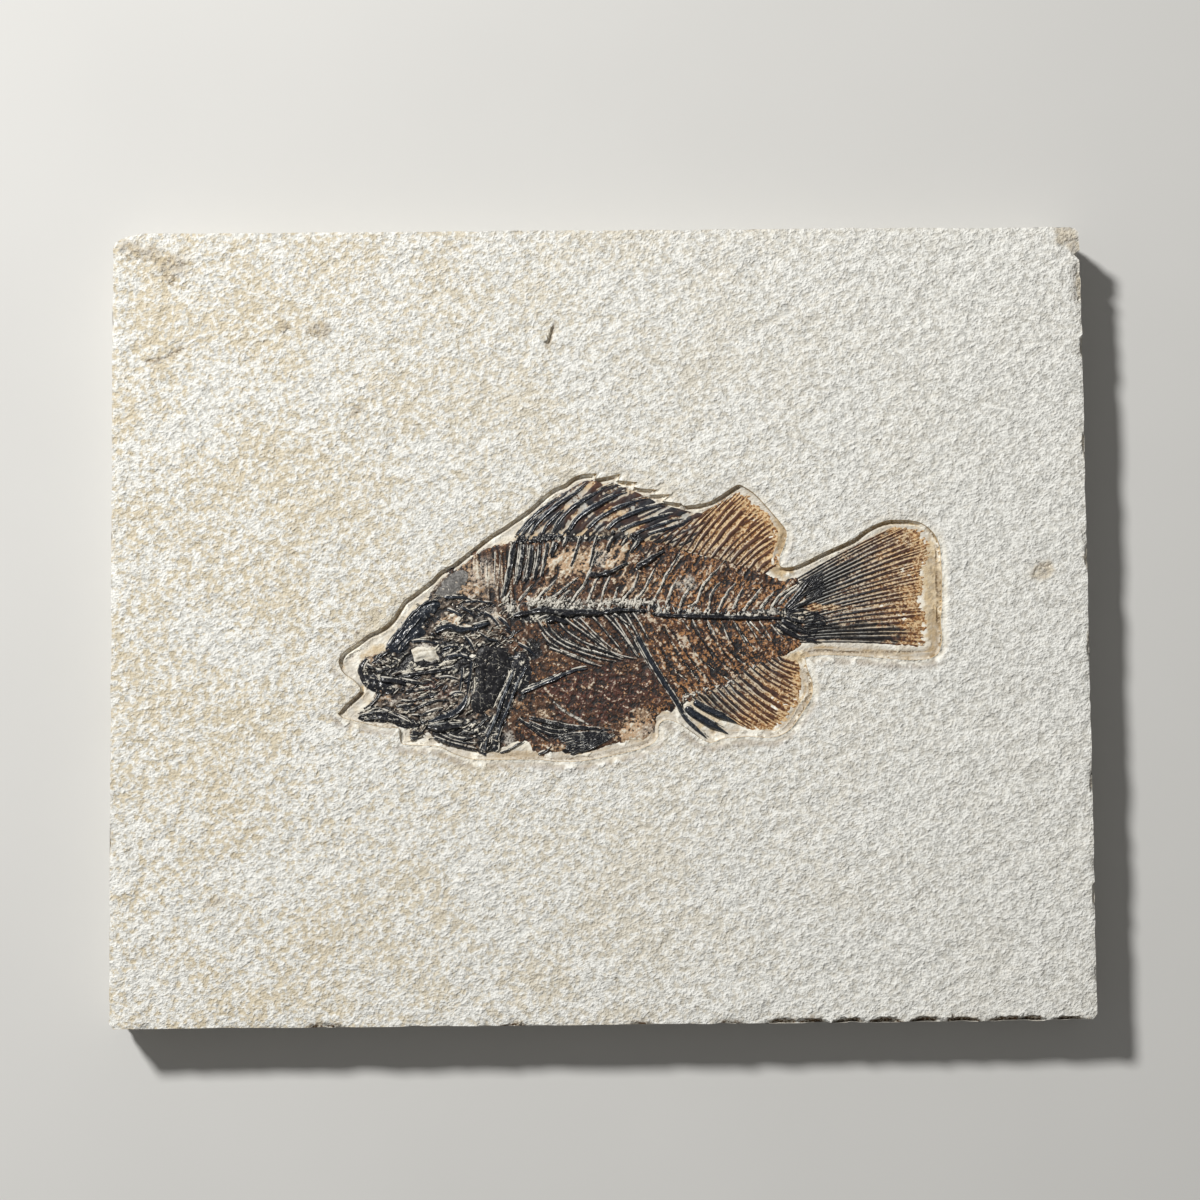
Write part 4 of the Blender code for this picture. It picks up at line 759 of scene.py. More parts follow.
def bone_profile():
    """The cross-section of every slender bone: a low ridge, flat underneath, one unit wide."""
    section = [
        (-0.5, -0.16), (-0.45, 0.16), (-0.24, 0.42), (-0.03, 0.34),
        (0.18, 0.45), (0.42, 0.18), (0.5, -0.16), (0.0, -0.3),
    ]
    profile = empty_curve("bone_section", "2D")
    spline = profile.data.splines.new("POLY")
    spline.points.add(len(section) - 1)
    for point, (across, up) in zip(spline.points, section):
        point.co = (across * MM, up * MM, 0.0, 1.0)
    spline.use_cyclic_u = True
    return profile


def sweep_bones(name, bones, step, blunt=0.8, tip=0.4, wobble=0.3, wander=0.1, lift=0.0):
    """Sweeps the bone section along every route, as one mesh."""
    profile = bone_profile()
    sweep = empty_curve(name, "3D")
    curve = sweep.data
    curve.twist_mode = "Z_UP"
    curve.bevel_mode = "OBJECT"
    curve.bevel_object = profile
    curve.use_fill_caps = True
    for number, bone in enumerate(bones):
        width, route = bone[:2]
        rise = lift + (bone[2] if len(bone) > 2 else 0.0)
        path = smooth_route(route, step)
        if len(path) < 4:
            path = share_points(path, np.linspace(0.0, 1.0, 4))
        share = np.linspace(0.0, 1.0, len(path))
        swell = blunt + (1.0 - blunt) * np.sin(np.pi * np.minimum(share * 1.6, 1.0) * 0.5)
        taper = np.minimum(1.0, tip + (1.0 - tip) * (1.0 - share) * 2.4)
        start = np.minimum(1.0, 0.45 + share * 9.0)
        grow = 1.0 + wobble * noise(share * len(path), np.full(len(path), 1.7 * number), 2.3, 5)
        sway = wander * noise(share * len(path), np.full(len(path), 2.9 * number), 3.1, 9)
        spline = curve.splines.new("POLY")
        spline.points.add(len(path) - 1)
        sizes = width * swell * taper * start * grow
        for point, place, size, side in zip(spline.points, path, sizes, sway):
            point.co = ((place[0] + side) * MM, (place[1] - side) * MM, (BONE_BED + rise) * MM, 1.0)
            point.radius = size
    bpy.ops.object.convert(target="MESH")
    deselect()
    profile.select_set(True)
    bpy.ops.object.delete()
    edit(sweep)
    bpy.ops.mesh.select_all(action="SELECT")
    bpy.ops.mesh.remove_doubles(threshold=0.0005 * MM)
    face_outwards()
    return sweep


def roughen(obj, grain, strength):
    """Pushes the surface in and out by a cloudy texture, and applies it."""
    texture = bpy.data.textures.new(obj.name + "_grain", "CLOUDS")
    texture.noise_scale = grain * MM
    modifier = obj.modifiers.new("grain", "DISPLACE")
    modifier.texture = texture
    modifier.texture_coords = "LOCAL"
    modifier.strength = strength * MM
    modifier.mid_level = 0.5
    pick(obj)
    bpy.ops.object.modifier_apply(modifier=modifier.name)


def broken(bones, seed, length, stray=0.22):
    """Bones snapped into short pieces with gaps between them, each knocked a little aside."""
    rng = np.random.default_rng(seed)
    pieces = []
    for width, route, *lift in bones:
        curve = smooth_route(route, 0.3)
        first = 0
        while first < len(curve) - 2:
            count = max(2, int(rng.uniform(*length) / 0.3))
            piece = curve[first:first + count + 1] + rng.uniform(-stray, stray, 2)
            ends = [tuple(point) for point in piece[[0, len(piece) // 2, -1]]]
            pieces.append((width * rng.uniform(0.7, 1.2), ends, sum(lift)))
            first += count + rng.integers(1, 9)
    return pieces


def left_of(path):
    """The unit vector to the left of a route at each of its points."""
    run = np.gradient(path, axis=0)
    run /= np.linalg.norm(run, axis=1, keepdims=True)
    return np.stack([-run[:, 1], run[:, 0]], 1)


def beside(bones, offset, width, lift=0.12):
    """Thin lines along the left edge of each bone, or along its right edge where offset < 0."""
    lines = []
    for bone in bones:
        path = smooth_route(bone[1], 1.2)
        away = math.copysign(0.42 * bone[0], offset) + offset
        lines.append((width, [tuple(p) for p in path + left_of(path) * away], lift))
    return lines


def ribbon(route, start, end):
    """A closed strip round a route, whose half-width runs from start to end."""
    path = smooth_route(route, 2.0)
    across = left_of(path) * np.linspace(start, end, len(path))[:, None]
    return [tuple(p) for p in path + across] + [tuple(p) for p in (path - across)[::-1]]


def hold_below(obj, top):
    """Presses anything higher than the top back to it, as the plate's own face limits it."""
    points = points_of(obj)
    points[:, 2] = np.minimum(points[:, 2], top)
    place_points(obj, points)


def hand_over(obj, finish, nodes, degrees=60.0):
    """Smooths and dresses a finished piece, and says which solids it stands for."""
    smooth_faces(obj, degrees)
    obj.data.materials.append(finish_named(finish))
    obj.data.name = obj.name
    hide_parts(*nodes)
    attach(obj, "root")


class Wire:
    """One output socket in a material. Sums and products of wires add their own Math nodes."""

    def __init__(self, tree, socket):
        self.tree = tree
        self.socket = socket

    def node(self, kind, settings=None, values=None, out=0):
        made = self.tree.nodes.new(kind)
        for key, value in (settings or {}).items():
            setattr(made, key, value)
        for key, value in (values or {}).items():
            socket = pick_socket(made.inputs, key)
            if isinstance(value, Wire):
                self.tree.links.new(value.socket, socket)
            elif socket.type == "RGBA" and len(value) == 3:
                socket.default_value = (*value, 1.0)
            else:
                socket.default_value = value
        return Wire(self.tree, pick_socket(made.outputs, out))

    def maths(self, operation, *values):
        return self.node("ShaderNodeMath", {"operation": operation}, dict(enumerate(values)))

    def __add__(self, other):
        return self.maths("ADD", self, other)

    __radd__ = __add__

    def __sub__(self, other):
        return self.maths("SUBTRACT", self, other)

    def __rsub__(self, other):
        return self.maths("SUBTRACT", other, self)

    def __mul__(self, other):
        return self.maths("MULTIPLY", self, other)

    __rmul__ = __mul__

    def most(self, other):
        return self.maths("MAXIMUM", self, other)

    def step(self, low, high):
        """0 below the low value, 1 above the high one, smooth between them."""
        settings = {"interpolation_type": "SMOOTHSTEP"}
        return self.node("ShaderNodeMapRange", settings, {"Value": self, "From Min": low, "From Max": high})

    def between(self, first, second):
        """A colour mixed from two by this value."""
        values = {"Factor_Float": self, "A_Color": first, "B_Color": second}
        return self.node("ShaderNodeMix", {"data_type": "RGBA"}, values, "Result_Color")

    def noise(self, size, detail=2.0, roughness=0.5):
        """Cloudy noise read at this vector, with lumps of a size in millimetres."""
        values = {"Vector": self, "Scale": 1.0 / (size * MM), "Detail": detail, "Roughness": roughness}
        return self.node("ShaderNodeTexNoise", None, values)

    def cells(self, size):
        """Distance from the edges of a net of cells, of a size in millimetres."""
        values = {"Vector": self, "Scale": 1.0 / (size * MM)}
        return self.node("ShaderNodeTexVoronoi", {"feature": "DISTANCE_TO_EDGE"}, values)

    def drawn_out(self, degrees, stretch):
        """This vector turned and squeezed, so that a pattern on it is drawn out along a direction."""
        turn = math.radians(degrees)
        values = {"Vector": self, "Rotation": (0.0, 0.0, turn), "Scale": (stretch, 1.0, 1.0)}
        return self.node("ShaderNodeMapping", {"vector_type": "TEXTURE"}, values)

    def fields(self, *names):
        """The values that the piece's points keep under these names."""
        return [self.node("ShaderNodeAttribute", {"attribute_name": name}, None, "Fac") for name in names]

    def bump(self, height, depth):
        """A normal bent by a height from 0 to 1 that stands for a depth in millimetres."""
        values = {"Height": height, "Distance": depth * MM, "Strength": 1.0}
        return self.node("ShaderNodeBump", None, values)


def pick_socket(sockets, key):
    if isinstance(key, int):
        return sockets[key]
    return next(s for s in sockets if key in (s.identifier, s.name))


def new_finish(name, slot_colour):
    """An empty finish: its material, the vector of the piece's own coordinates, and its shader."""
    material = bpy.data.materials.new(name)
    material.use_nodes = True
    material.diffuse_color = (*slot_colour, 1.0)
    tree = material.node_tree
    shader = tree.nodes["Principled BSDF"]
    coordinates = tree.nodes.new("ShaderNodeTexCoord")
    return material, Wire(tree, coordinates.outputs["Object"]), shader


def connect(shader, **wires):
    for key, wire in wires.items():
        shader.id_data.links.new(wire.socket, shader.inputs[key.replace("_", " ")])


def stone_finish(palette):
    """Limestone: cream grains, ochre clouds, brown staining and painted shade round the fish, smooth where
    scraped.
    """
    material, place, shader = new_finish("limestone_finish", palette.stone)
    stain, scraped, grain_and_flake_shade, flank = place.fields("stain", "scraped", "dark_grain", "flank")
    wall, lined, scar = place.fields("wall", "lined", "scar")
    skewed = place.drawn_out(28.0, 1.12)
    coarse = skewed.noise(1.3, 1.0, 0.5)
    fine = skewed.noise(0.56, 1.6, 0.65)
    cloud = place.noise(19.0, 3.0, 0.65)
    spots = place.noise(1.3, 3.0, 0.7)
    west = place.node("ShaderNodeSeparateXYZ", None, {0: place}, "X") * (-1.0 / 0.11)
    warm_side = west.step(-0.9, 0.9)
    ochre = (cloud * 0.5 + spots * 0.9 - coarse * 0.35).step(0.45, 0.66) * (0.15 + 0.85 * warm_side)
    height = coarse * 0.55 + fine * 0.57
    # Darker where the grain is low: painted shade in the hollows
    colour = (height * 0.9).step(0.37, 0.6).between(palette.stone_hollow_shade, palette.stone)
    colour = (ochre * 0.75).between(colour, palette.ochre_cloud)
    colour = (flank * (0.35 + 0.5 * place.noise(4.0, 3.0))).between(colour, palette.flank)
    cloudy = place.noise(2.2, 3.0, 0.65)
    smooth_colour = cloudy.step(0.35, 0.68).between(palette.scraped, palette.scraped_shade)
    colour = (scraped * 0.85).between(colour, smooth_colour)
    # The stain holds the ochre halo, and painted shade on the recess walls and along the wall in shadow
    stain_and_shade_mask = (stain * (0.5 + place.noise(0.9, 3.0, 0.65))).step(0.12, 1.05)
    colour = (stain_and_shade_mask * 0.9).between(colour, palette.stain)
    deep = (stain - 0.75).step(0.0, 0.5) * fine.step(0.45, 0.58)
    colour = (deep * 0.8).between(colour, palette.stain_dark)
    layers = (wall * 44.0 + cloudy * 11.0).maths("SINE")
    streak = layers.step(0.1, 0.8) * lined * place.noise(3.0, 2.0).step(0.38, 0.5)
    colour = (streak * 0.8).between(colour, palette.streak)
    crease = place.noise(1.6, 2.0, 0.6).maths("PINGPONG", 0.5).step(0.455, 0.495)
    colour = (scar * coarse.step(0.3, 0.6) * 0.5).between(colour, palette.ochre_cloud)
    chips = scar * crease * fine.step(0.4, 0.55)
    colour = (chips * 0.4).between(colour, palette.stain_dark)
    # Dark grains and cracks, and painted shade on the flakes along the front edge
    colour = (grain_and_flake_shade * fine.step(0.42, 0.54)).between(colour, palette.stain_dark)
    rough_share = 1.0 - scraped * 0.5
    normal = place.bump(height * rough_share + scar * crease * 0.3 - streak * 0.4, 0.8)
    shader.inputs["Roughness"].default_value = 0.9
    shader.inputs["Specular IOR Level"].default_value = 0.25
    connect(shader, Base_Color=colour, Normal=normal)
    return material


def skin_finish(palette):
    """Pressed skin and flesh: brown film with ochre, charred and pale patches, and glossy flecks."""
    material, place, shader = new_finish("pressed_skin_finish", palette.skin)
    char, ochre, pale, red, crest = place.fields("char", "ochre", "pale", "red", "crest")
    rust, ashen, rows = place.fields("rust", "ashen", "rows")
    medium = place.noise(1.4, 3.0, 0.65)
    fine = place.noise(0.4, 2.0, 0.6)
    fleck = place.drawn_out(38.0, 2.4).noise(0.38, 2.0, 0.6)
    grit = fleck * 0.3 + fine * 0.38 + crest * 0.32
    flesh = ashen.between(rust.between(palette.skin, palette.rust_skin), palette.ash_skin)
    colour = (medium * 0.4 + grit * 0.6).step(0.42, 0.6).between(palette.skin_dark, flesh)
    maroon = grit.step(0.42, 0.6).between(palette.skin_dark, palette.red_flesh)
    colour = (red * medium.step(0.3, 0.5)).between(colour, maroon)
    warm = (ochre * 0.24 + medium * 0.36 + grit * 0.9).step(0.7, 0.9)
    colour = (warm * (1.0 - rust) * (0.15 + ochre)).between(colour, palette.ochre_flesh)
    spots = place.noise(0.85, 2.0, 0.65)
    leaning = (ochre + rust * 2.2 - 0.7 - char * 3.0 - red - ashen) * 0.03
    orange = (spots * 0.7 + fine * 0.3 + leaning).step(0.55, 0.6)
    colour = (orange * 0.85).between(colour, palette.orange_fleck)
    fleck_colour = ashen.between(palette.tan_fleck, palette.ash_fleck)
    fleck_colour = (rust * 0.75).between(fleck_colour, palette.ochre_flesh)
    leaning = (ochre + pale - rust * 0.1 + red * 0.1 - char) * 0.06
    light = (grit * 0.7 + spots * 0.3 + leaning).step(0.57, 0.64)
    colour = (light * (0.9 - char * 0.4)).between(colour, fleck_colour)
    colour = (pale * (medium + fine).step(0.8, 1.1)).between(colour, palette.pale_film)
    hollow = 1.0 - (grit + (pale + ochre * 0.3 - char * 3.0) * 0.03).step(0.38, 0.46)
    black = (char * 1.1 + (fine - 0.5) * 1.2).step(0.45, 0.75)
    line = (rows * 48.0 + medium * 5.0).maths("SINE").step(0.72, 0.95) * rust * fine.step(0.38, 0.5)
    colour = black.most(hollow).most(line).between(colour, palette.black)
    cream = (grit * 0.8 + medium * 0.2 + (char + ochre + rust * 0.5 + red * 0.6) * 0.03).step(0.59, 0.64)
    cream = cream * (0.4 + char * 0.6 + rust * 0.3 + ochre * 0.4)
    colour = (cream * 0.9).between(colour, (rust * 0.6).between(palette.cream_fleck, palette.tan_fleck))
    shine = 0.6 - black * 0.22
    normal = place.bump(grit, 0.35)
    shader.inputs["Specular IOR Level"].default_value = 0.4
    connect(shader, Base_Color=colour, Roughness=shine, Normal=normal)
    return material


def bone_finish(name, palette, body_colour, wear_and_highlight_colour, wear_and_highlight_share, roughness, cracked, shine):
    """Fossil bone: glossy and dark, paler where worn and in a painted highlight on lamp-facing sides, small
    pale cracks.
    """
    dark = getattr(palette, body_colour)
    material, place, shader = new_finish(name, dark)
    crest, rim = place.fields("crest", "rim")
    mottle = place.noise(1.3, 3.0, 0.65)
    fine = place.noise(0.42, 2.0, 0.6)
    cracks = place.cells(1.3)
    body = (fine * 0.6 + mottle * 0.4).step(0.42, 0.6)
    colour = body.between(dark, [min(1.0, c * 1.9 + 0.004) for c in dark])
    # worn: pale in random patches, a little on crests, and on lamp-facing sides (rim) as a painted
    # highlight
    worn = (mottle * 0.7 + fine * 0.3 + rim * 0.22 + crest * 0.06 + wear_and_highlight_share).step(0.74, 0.84)
    colour = (worn * 0.92).between(colour, getattr(palette, wear_and_highlight_colour))
    line = (1.0 - cracks.step(0.02, 0.07)) * (mottle + fine).step(1.0, 1.16)
    colour = (line * cracked).between(colour, palette.cream_fleck)
    gloss = roughness + worn * 0.25 + fine * 0.1
    normal = place.bump(fine, 0.06)
    shader.inputs["Specular IOR Level"].default_value = shine
    connect(shader, Base_Color=colour, Roughness=gloss, Normal=normal)
    return material


def fin_finish(palette):
    """Fin rays over their web: dark at the root, brown on, amber at the free edge."""
    material, place, shader = new_finish("amber_fin_finish", palette.amber)
    ray, gleam, reach, char = place.fields("ray", "gleam", "reach", "char")
    mottle = place.noise(1.2, 3.0, 0.6)
    fine = place.noise(0.45, 2.0, 0.6)
    ripe = (reach + (place.noise(3.0, 3.0, 0.65) - 0.5) * 1.2).step(0.1, 1.0)
    web = ripe.between(palette.web_root, palette.amber)
    light = ripe.between(palette.tan_fleck, palette.amber_light)
    dusk = (mottle * 0.5 + fine * 0.5 + reach * 0.03).step(0.405, 0.485)
    web = (mottle * 0.4 + fine * 0.6).step(0.47, 0.56).between(dusk.between(palette.ray_tip, web), light)
    bone = (reach + (mottle - 0.5) * 0.5).step(0.25, 0.9).between(palette.ray_root, palette.ray_tip)
    colour = (ray + (fine - 0.5) * 0.8).step(0.22, 0.42).between(web, bone)
    shadow = (char * (0.5 + mottle)).step(0.35, 0.8)
    colour = (shadow * 0.92).between(colour, palette.black)
    # shine: a painted highlight beside each ray (gleam), grey near the root and light amber at the edge
    shine = (gleam + (fine - 0.5) * 0.8).step(0.35, 0.75)
    colour = (shine * 0.85).between(colour, ripe.between(palette.ray_highlight, palette.amber_light))
    shader.inputs["Specular IOR Level"].default_value = 0.4
    connect(shader, Base_Color=colour, Roughness=0.5 + ripe * 0.25, Normal=place.bump(fine, 0.1))
    return material


def chalk_finish(palette):
    """The pale matrix that fills the eye socket."""
    material, place, shader = new_finish("pale_fill_finish", palette.pale_fill)
    grain = place.noise(0.7, 3.0, 0.6)
    bands = place.drawn_out(10.0, 4.0).noise(0.8, 2.0)
    colour = (grain * 0.5 + bands * 0.5).step(0.34, 0.6).between(palette.fill_shade, palette.pale_fill)
    connect(shader, Base_Color=colour, Normal=place.bump(grain, 0.12))
    shader.inputs["Roughness"].default_value = 0.72
    return material


def floor_finish():
    material, place, shader = new_finish("table_top_finish", (0.6, 0.6, 0.6))
    cloud = place.noise(60.0, 3.0)
    connect(shader, Base_Color=cloud.between((0.62, 0.62, 0.61), (0.66, 0.66, 0.65)))
    shader.inputs["Roughness"].default_value = 0.8
    return material


# Bone finishes: slot, body colour, colour of the wear and of the painted highlight on lamp-facing sides,
# share of that colour, roughness, strength of the pale cracks, shine
BONE_LOOKS = {
    "dark_bone": ("dark_bone", "dark_bone", "bone_edge", 0.1, 0.2, 0.2, 0.5),
    "blue_bone": ("dark_bone", "blue_bone", "bone_edge", 0.04, 0.18, 0.1, 0.5),
    "steel_bone": ("dark_bone", "blue_bone", "steel_edge", 0.11, 0.18, 0.1, 0.5),
    "cracked_bone": ("dark_bone", "dark_bone", "grey_bone", 0.12, 0.22, 0.9, 0.5),
    "gill_bone": ("dark_bone", "black", "bone_edge", 0.0, 0.3, 0.3, 0.2),
    "strut_bone": ("dark_bone", "grey_shade", "grey_bone", 0.28, 0.42, 0.2, 0.5),
    "grey_bone": ("grey_bone", "grey_shade", "grey_bone", 0.28, 0.42, 0.2, 0.5),
    "worn_bone": ("grey_bone", "grey_shade", "grey_bone", 0.26, 0.42, 0.2, 0.5),
    "film_bone": ("grey_bone", "bone_film", "grey_bone", 0.02, 0.42, 0.2, 0.5),
    "cream_line": ("pale_fill", "skin_dark", "cream_fleck", 0.23, 0.5, 0.2, 0.5),
}
OTHER_LOOKS = {
    "limestone": stone_finish, "pressed_skin": skin_finish,
    "amber_fin": fin_finish, "pale_fill": chalk_finish,
}
FINISHES = {}


def finish_named(name):
    """Makes each finish once, and gives it to every piece that asks."""
    if name not in FINISHES:
        palette = bpy.context.scene.fossil_colours
        if name in BONE_LOOKS:
            FINISHES[name] = bone_finish(name + "_finish", palette, *BONE_LOOKS[name][1:])
        else:
            FINISHES[name] = OTHER_LOOKS[name](palette)
    return FINISHES[name]


def colour(name, description, default):
    return FloatVectorProperty(
        name=name, description=description, default=default, subtype="COLOR", size=3, min=0.0, max=1.0)


class FossilColours(bpy.types.PropertyGroup):
    """Colours of the stone, skin, bones and fins."""

    stone: colour("Stone", "High grains of the limestone", (0.895, 0.895, 0.86))
    # Colour of the painted shade in the hollows of the grain
    stone_hollow_shade: colour("Stone hollow", "Hollows between the grains", (0.6, 0.6, 0.57))
    ochre_cloud: colour("Ochre cloud", "Warm blotches of the face", (0.64, 0.54, 0.36))
    flank: colour("Flank", "Broken sides of the plate", (0.5, 0.47, 0.41))
    scraped: colour("Scraped stone", "Smooth floor of the recess", (0.97, 0.955, 0.88))
    scraped_shade: colour("Scraped shade", "Duller parts of the recess", (0.86, 0.8, 0.67))
    # The stain colour also paints shade on the recess walls and along the wall in shadow
    stain: colour("Stain", "Ochre halo round the fish", (0.6, 0.45, 0.25))
    streak: colour("Floor streak", "Brown lines on the floor of the recess", (0.22, 0.15, 0.09))
    stain_dark: colour("Dark stain", "Brown specks in the halo", (0.14, 0.09, 0.05))
    skin: colour("Skin", "Brown of the pressed skin", (0.135, 0.062, 0.031))
    ash_skin: colour("Ashen skin", "Grey-brown film over the head", (0.16, 0.125, 0.095))
    ash_fleck: colour("Ashen fleck", "Grey grains in the film over the head", (0.4, 0.36, 0.32))
    rust_skin: colour("Rusty skin", "Brown of the skin towards the tail", (0.12, 0.05, 0.024))
    skin_dark: colour("Dark skin", "Darkest brown of the skin", (0.022, 0.012, 0.009))
    red_flesh: colour("Red flesh", "Reddish belly and cheek", (0.11, 0.034, 0.024))
    ochre_flesh: colour("Ochre flesh", "Ochre and tan flesh", (0.54, 0.37, 0.23))
    orange_fleck: colour("Orange fleck", "Orange grains in the skin", (0.43, 0.21, 0.085))
    tan_fleck: colour("Tan fleck", "Tan grains in the skin", (0.62, 0.52, 0.39))
    cream_fleck: colour("Cream fleck", "Stone that shows through", (0.8, 0.76, 0.65))
    pale_film: colour("Pale film", "Chalky film over the skin", (0.52, 0.49, 0.44))
    black: colour("Char", "Black of the charred skin", (0.012, 0.012, 0.014))
    dark_bone: colour("Dark bone", "Glossy black bone", (0.012, 0.013, 0.017))
    blue_bone: colour("Blue bone", "Blue-grey shine of the spines", (0.014, 0.018, 0.026))
    # Paler colour of the black bones: their worn patches, and the painted highlight on lamp-facing sides
    bone_edge: colour("Bone edge", "Worn edges of the black bones", (0.36, 0.37, 0.36))
    steel_edge: colour("Steel edge", "Grey shine along the spines", (0.27, 0.29, 0.31))
    grey_bone: colour("Grey bone", "Pale bone of spines and ribs", (0.72, 0.69, 0.62))
    bone_film: colour("Bone film", "Thin grey bone behind the head", (0.12, 0.115, 0.11))
    grey_shade: colour("Grey bone shade", "Dull parts of the pale bone", (0.07, 0.066, 0.06))
    amber: colour("Amber", "Free edge of the fins", (0.34, 0.155, 0.05))
    amber_light: colour("Light amber", "Pale specks at the free edge", (0.76, 0.56, 0.32))
    web_root: colour("Web at the root", "Web between the rays near the body", (0.1, 0.07, 0.05))
    ray_root: colour("Ray at the root", "Dark rays near the body", (0.018, 0.02, 0.026))
    ray_tip: colour("Ray at the tip", "Brown rays at the free edge", (0.1, 0.04, 0.02))
    # Painted highlight beside each ray, pale grey near the root
    ray_highlight: colour("Ray light", "Pale joints of the rays", (0.5, 0.5, 0.47))
    pale_fill: colour("Pale fill", "Matrix in the eye socket", (0.8, 0.77, 0.68))
    fill_shade: colour("Fill shade", "Hollows of the socket matrix", (0.5, 0.44, 0.34))


def length_setting(name, description, default):
    return FloatProperty(
        name=name, description=description, default=default, unit="NONE", min=0.01, precision=2)


class FossilSizes(bpy.types.PropertyGroup):
    """Sizes of the relief, in millimetres."""

    stone_cell: length_setting("Stone cell", "Spacing of points on the face of the plate", 0.92)
    skin_cell: length_setting("Skin cell", "Spacing of points on the pressed skin", 0.24)
    plate_cell: length_setting("Bone plate cell", "Spacing of points on flat bones", 0.3)
    grain_height: length_setting("Grain height", "Height of the limestone's grain", 0.145)
    fin_ray_height: length_setting("Ray height", "Height of a fin ray over its web", 0.24)
    rubble_pieces: IntProperty(
        name="Bone splinters", description="Small broken bones in the head", default=240, min=0)


def plate_border(step):
    """The outer edge of the plate, wandering a little inwards."""
    knots = [np.array(p) for p in PLATE_OUTLINE]
    border = []
    for here, there in zip(knots, knots[1:] + knots[:1]):
        steps = max(1, int(round(np.linalg.norm(there - here) / step)))
        border += [here + (there - here) * k / steps for k in range(steps)]
    border = np.array(border)
    wander = 0.22 * noise(*border.T, 7.0, 3) + 0.14 * noise(*border.T, 2.2, 4)
    length = np.linalg.norm(border, axis=1, keepdims=True)
    return border - border / length * np.clip(0.05 + wander, 0.0, 0.5)[:, None]


def stone_height(x, y, grain_height, gap, side):
    """Height of the face: lumps, grain, broken flakes and the scraped ledge outside the recess."""
    z = FACE + 0.05 * noise(x, y, 23.0, 1) + 0.035 * noise(x, y, 8.0, 2)
    z += grain_height * streaks(x, y, 3.4, 2.1, 28.0, 6)
    z += 0.7 * grain_height * noise(x, y, 1.7, 7)
    for cx, cy, rx, ry, turn, depth in FACE_SCARS:
        reach = 1.5 * max(rx, ry)
        near = np.flatnonzero((abs(x - cx) < reach) & (abs(y - cy) < reach))
        if not len(near):
            continue
        angle = math.radians(turn)
        dx = x[near] - cx
        dy = y[near] - cy
        along = (dx * math.cos(angle) + dy * math.sin(angle)) / rx
        across = (dy * math.cos(angle) - dx * math.sin(angle)) / ry
        wobble = 1.0 + 0.22 * noise(dx, dy, 0.45 * min(rx, ry) + 0.5, 8)
        bowl = (along**2 + across**2) * wobble
        ripple = 0.1 * depth * np.sin(9.0 * np.sqrt(bowl)) + 0.24 * noise(dx, dy, 0.9, 12)
        floor = FACE + 0.08 - depth * np.clip(1.0 - bowl, 0.0, 1.0) ** 0.45 + ripple
        z[near] = np.where(bowl < 1.0, np.minimum(z[near], floor), z[near])
    z -= 0.25 * stroke_field(x, y, STONE_CRACKS)
    ledge = side * ramp(1.35, 1.05, gap) * ramp(0.0, 0.3, gap)
    z -= 0.22 * ledge
    z -= 0.1 * ramp(0.5, 0.0, gap)
    return np.minimum(z, HIGHEST)


def strewn(low, high, cell, stray, rng):
    """Points on a grid over a box, each knocked aside by less than a stray."""
    across, up = np.meshgrid(np.arange(low[0], high[0], cell), np.arange(low[1], high[1], cell))
    spots = np.stack([across.ravel(), up.ravel()], 1)
    return spots + rng.uniform(-stray, stray, spots.shape)


def flat_triangles(points, loops, keep):
    """Triangles over points that respect closed loops of point numbers, where their middles are kept."""
    edges = []
    for first, count in loops:
        edges += [(first + k, first + (k + 1) % count) for k in range(count)]
    flat = [Vector(p) for p in points]
    result = delaunay_2d_cdt(flat, edges, [], 0, 1e-7)
    triangles = np.array([f for f in result[2] if len(f) == 3])
    spots = np.array([(p.x, p.y) for p in result[0]])
    middles = spots[triangles].mean(1)
    return spots, triangles[keep(middles[:, 0], middles[:, 1])]


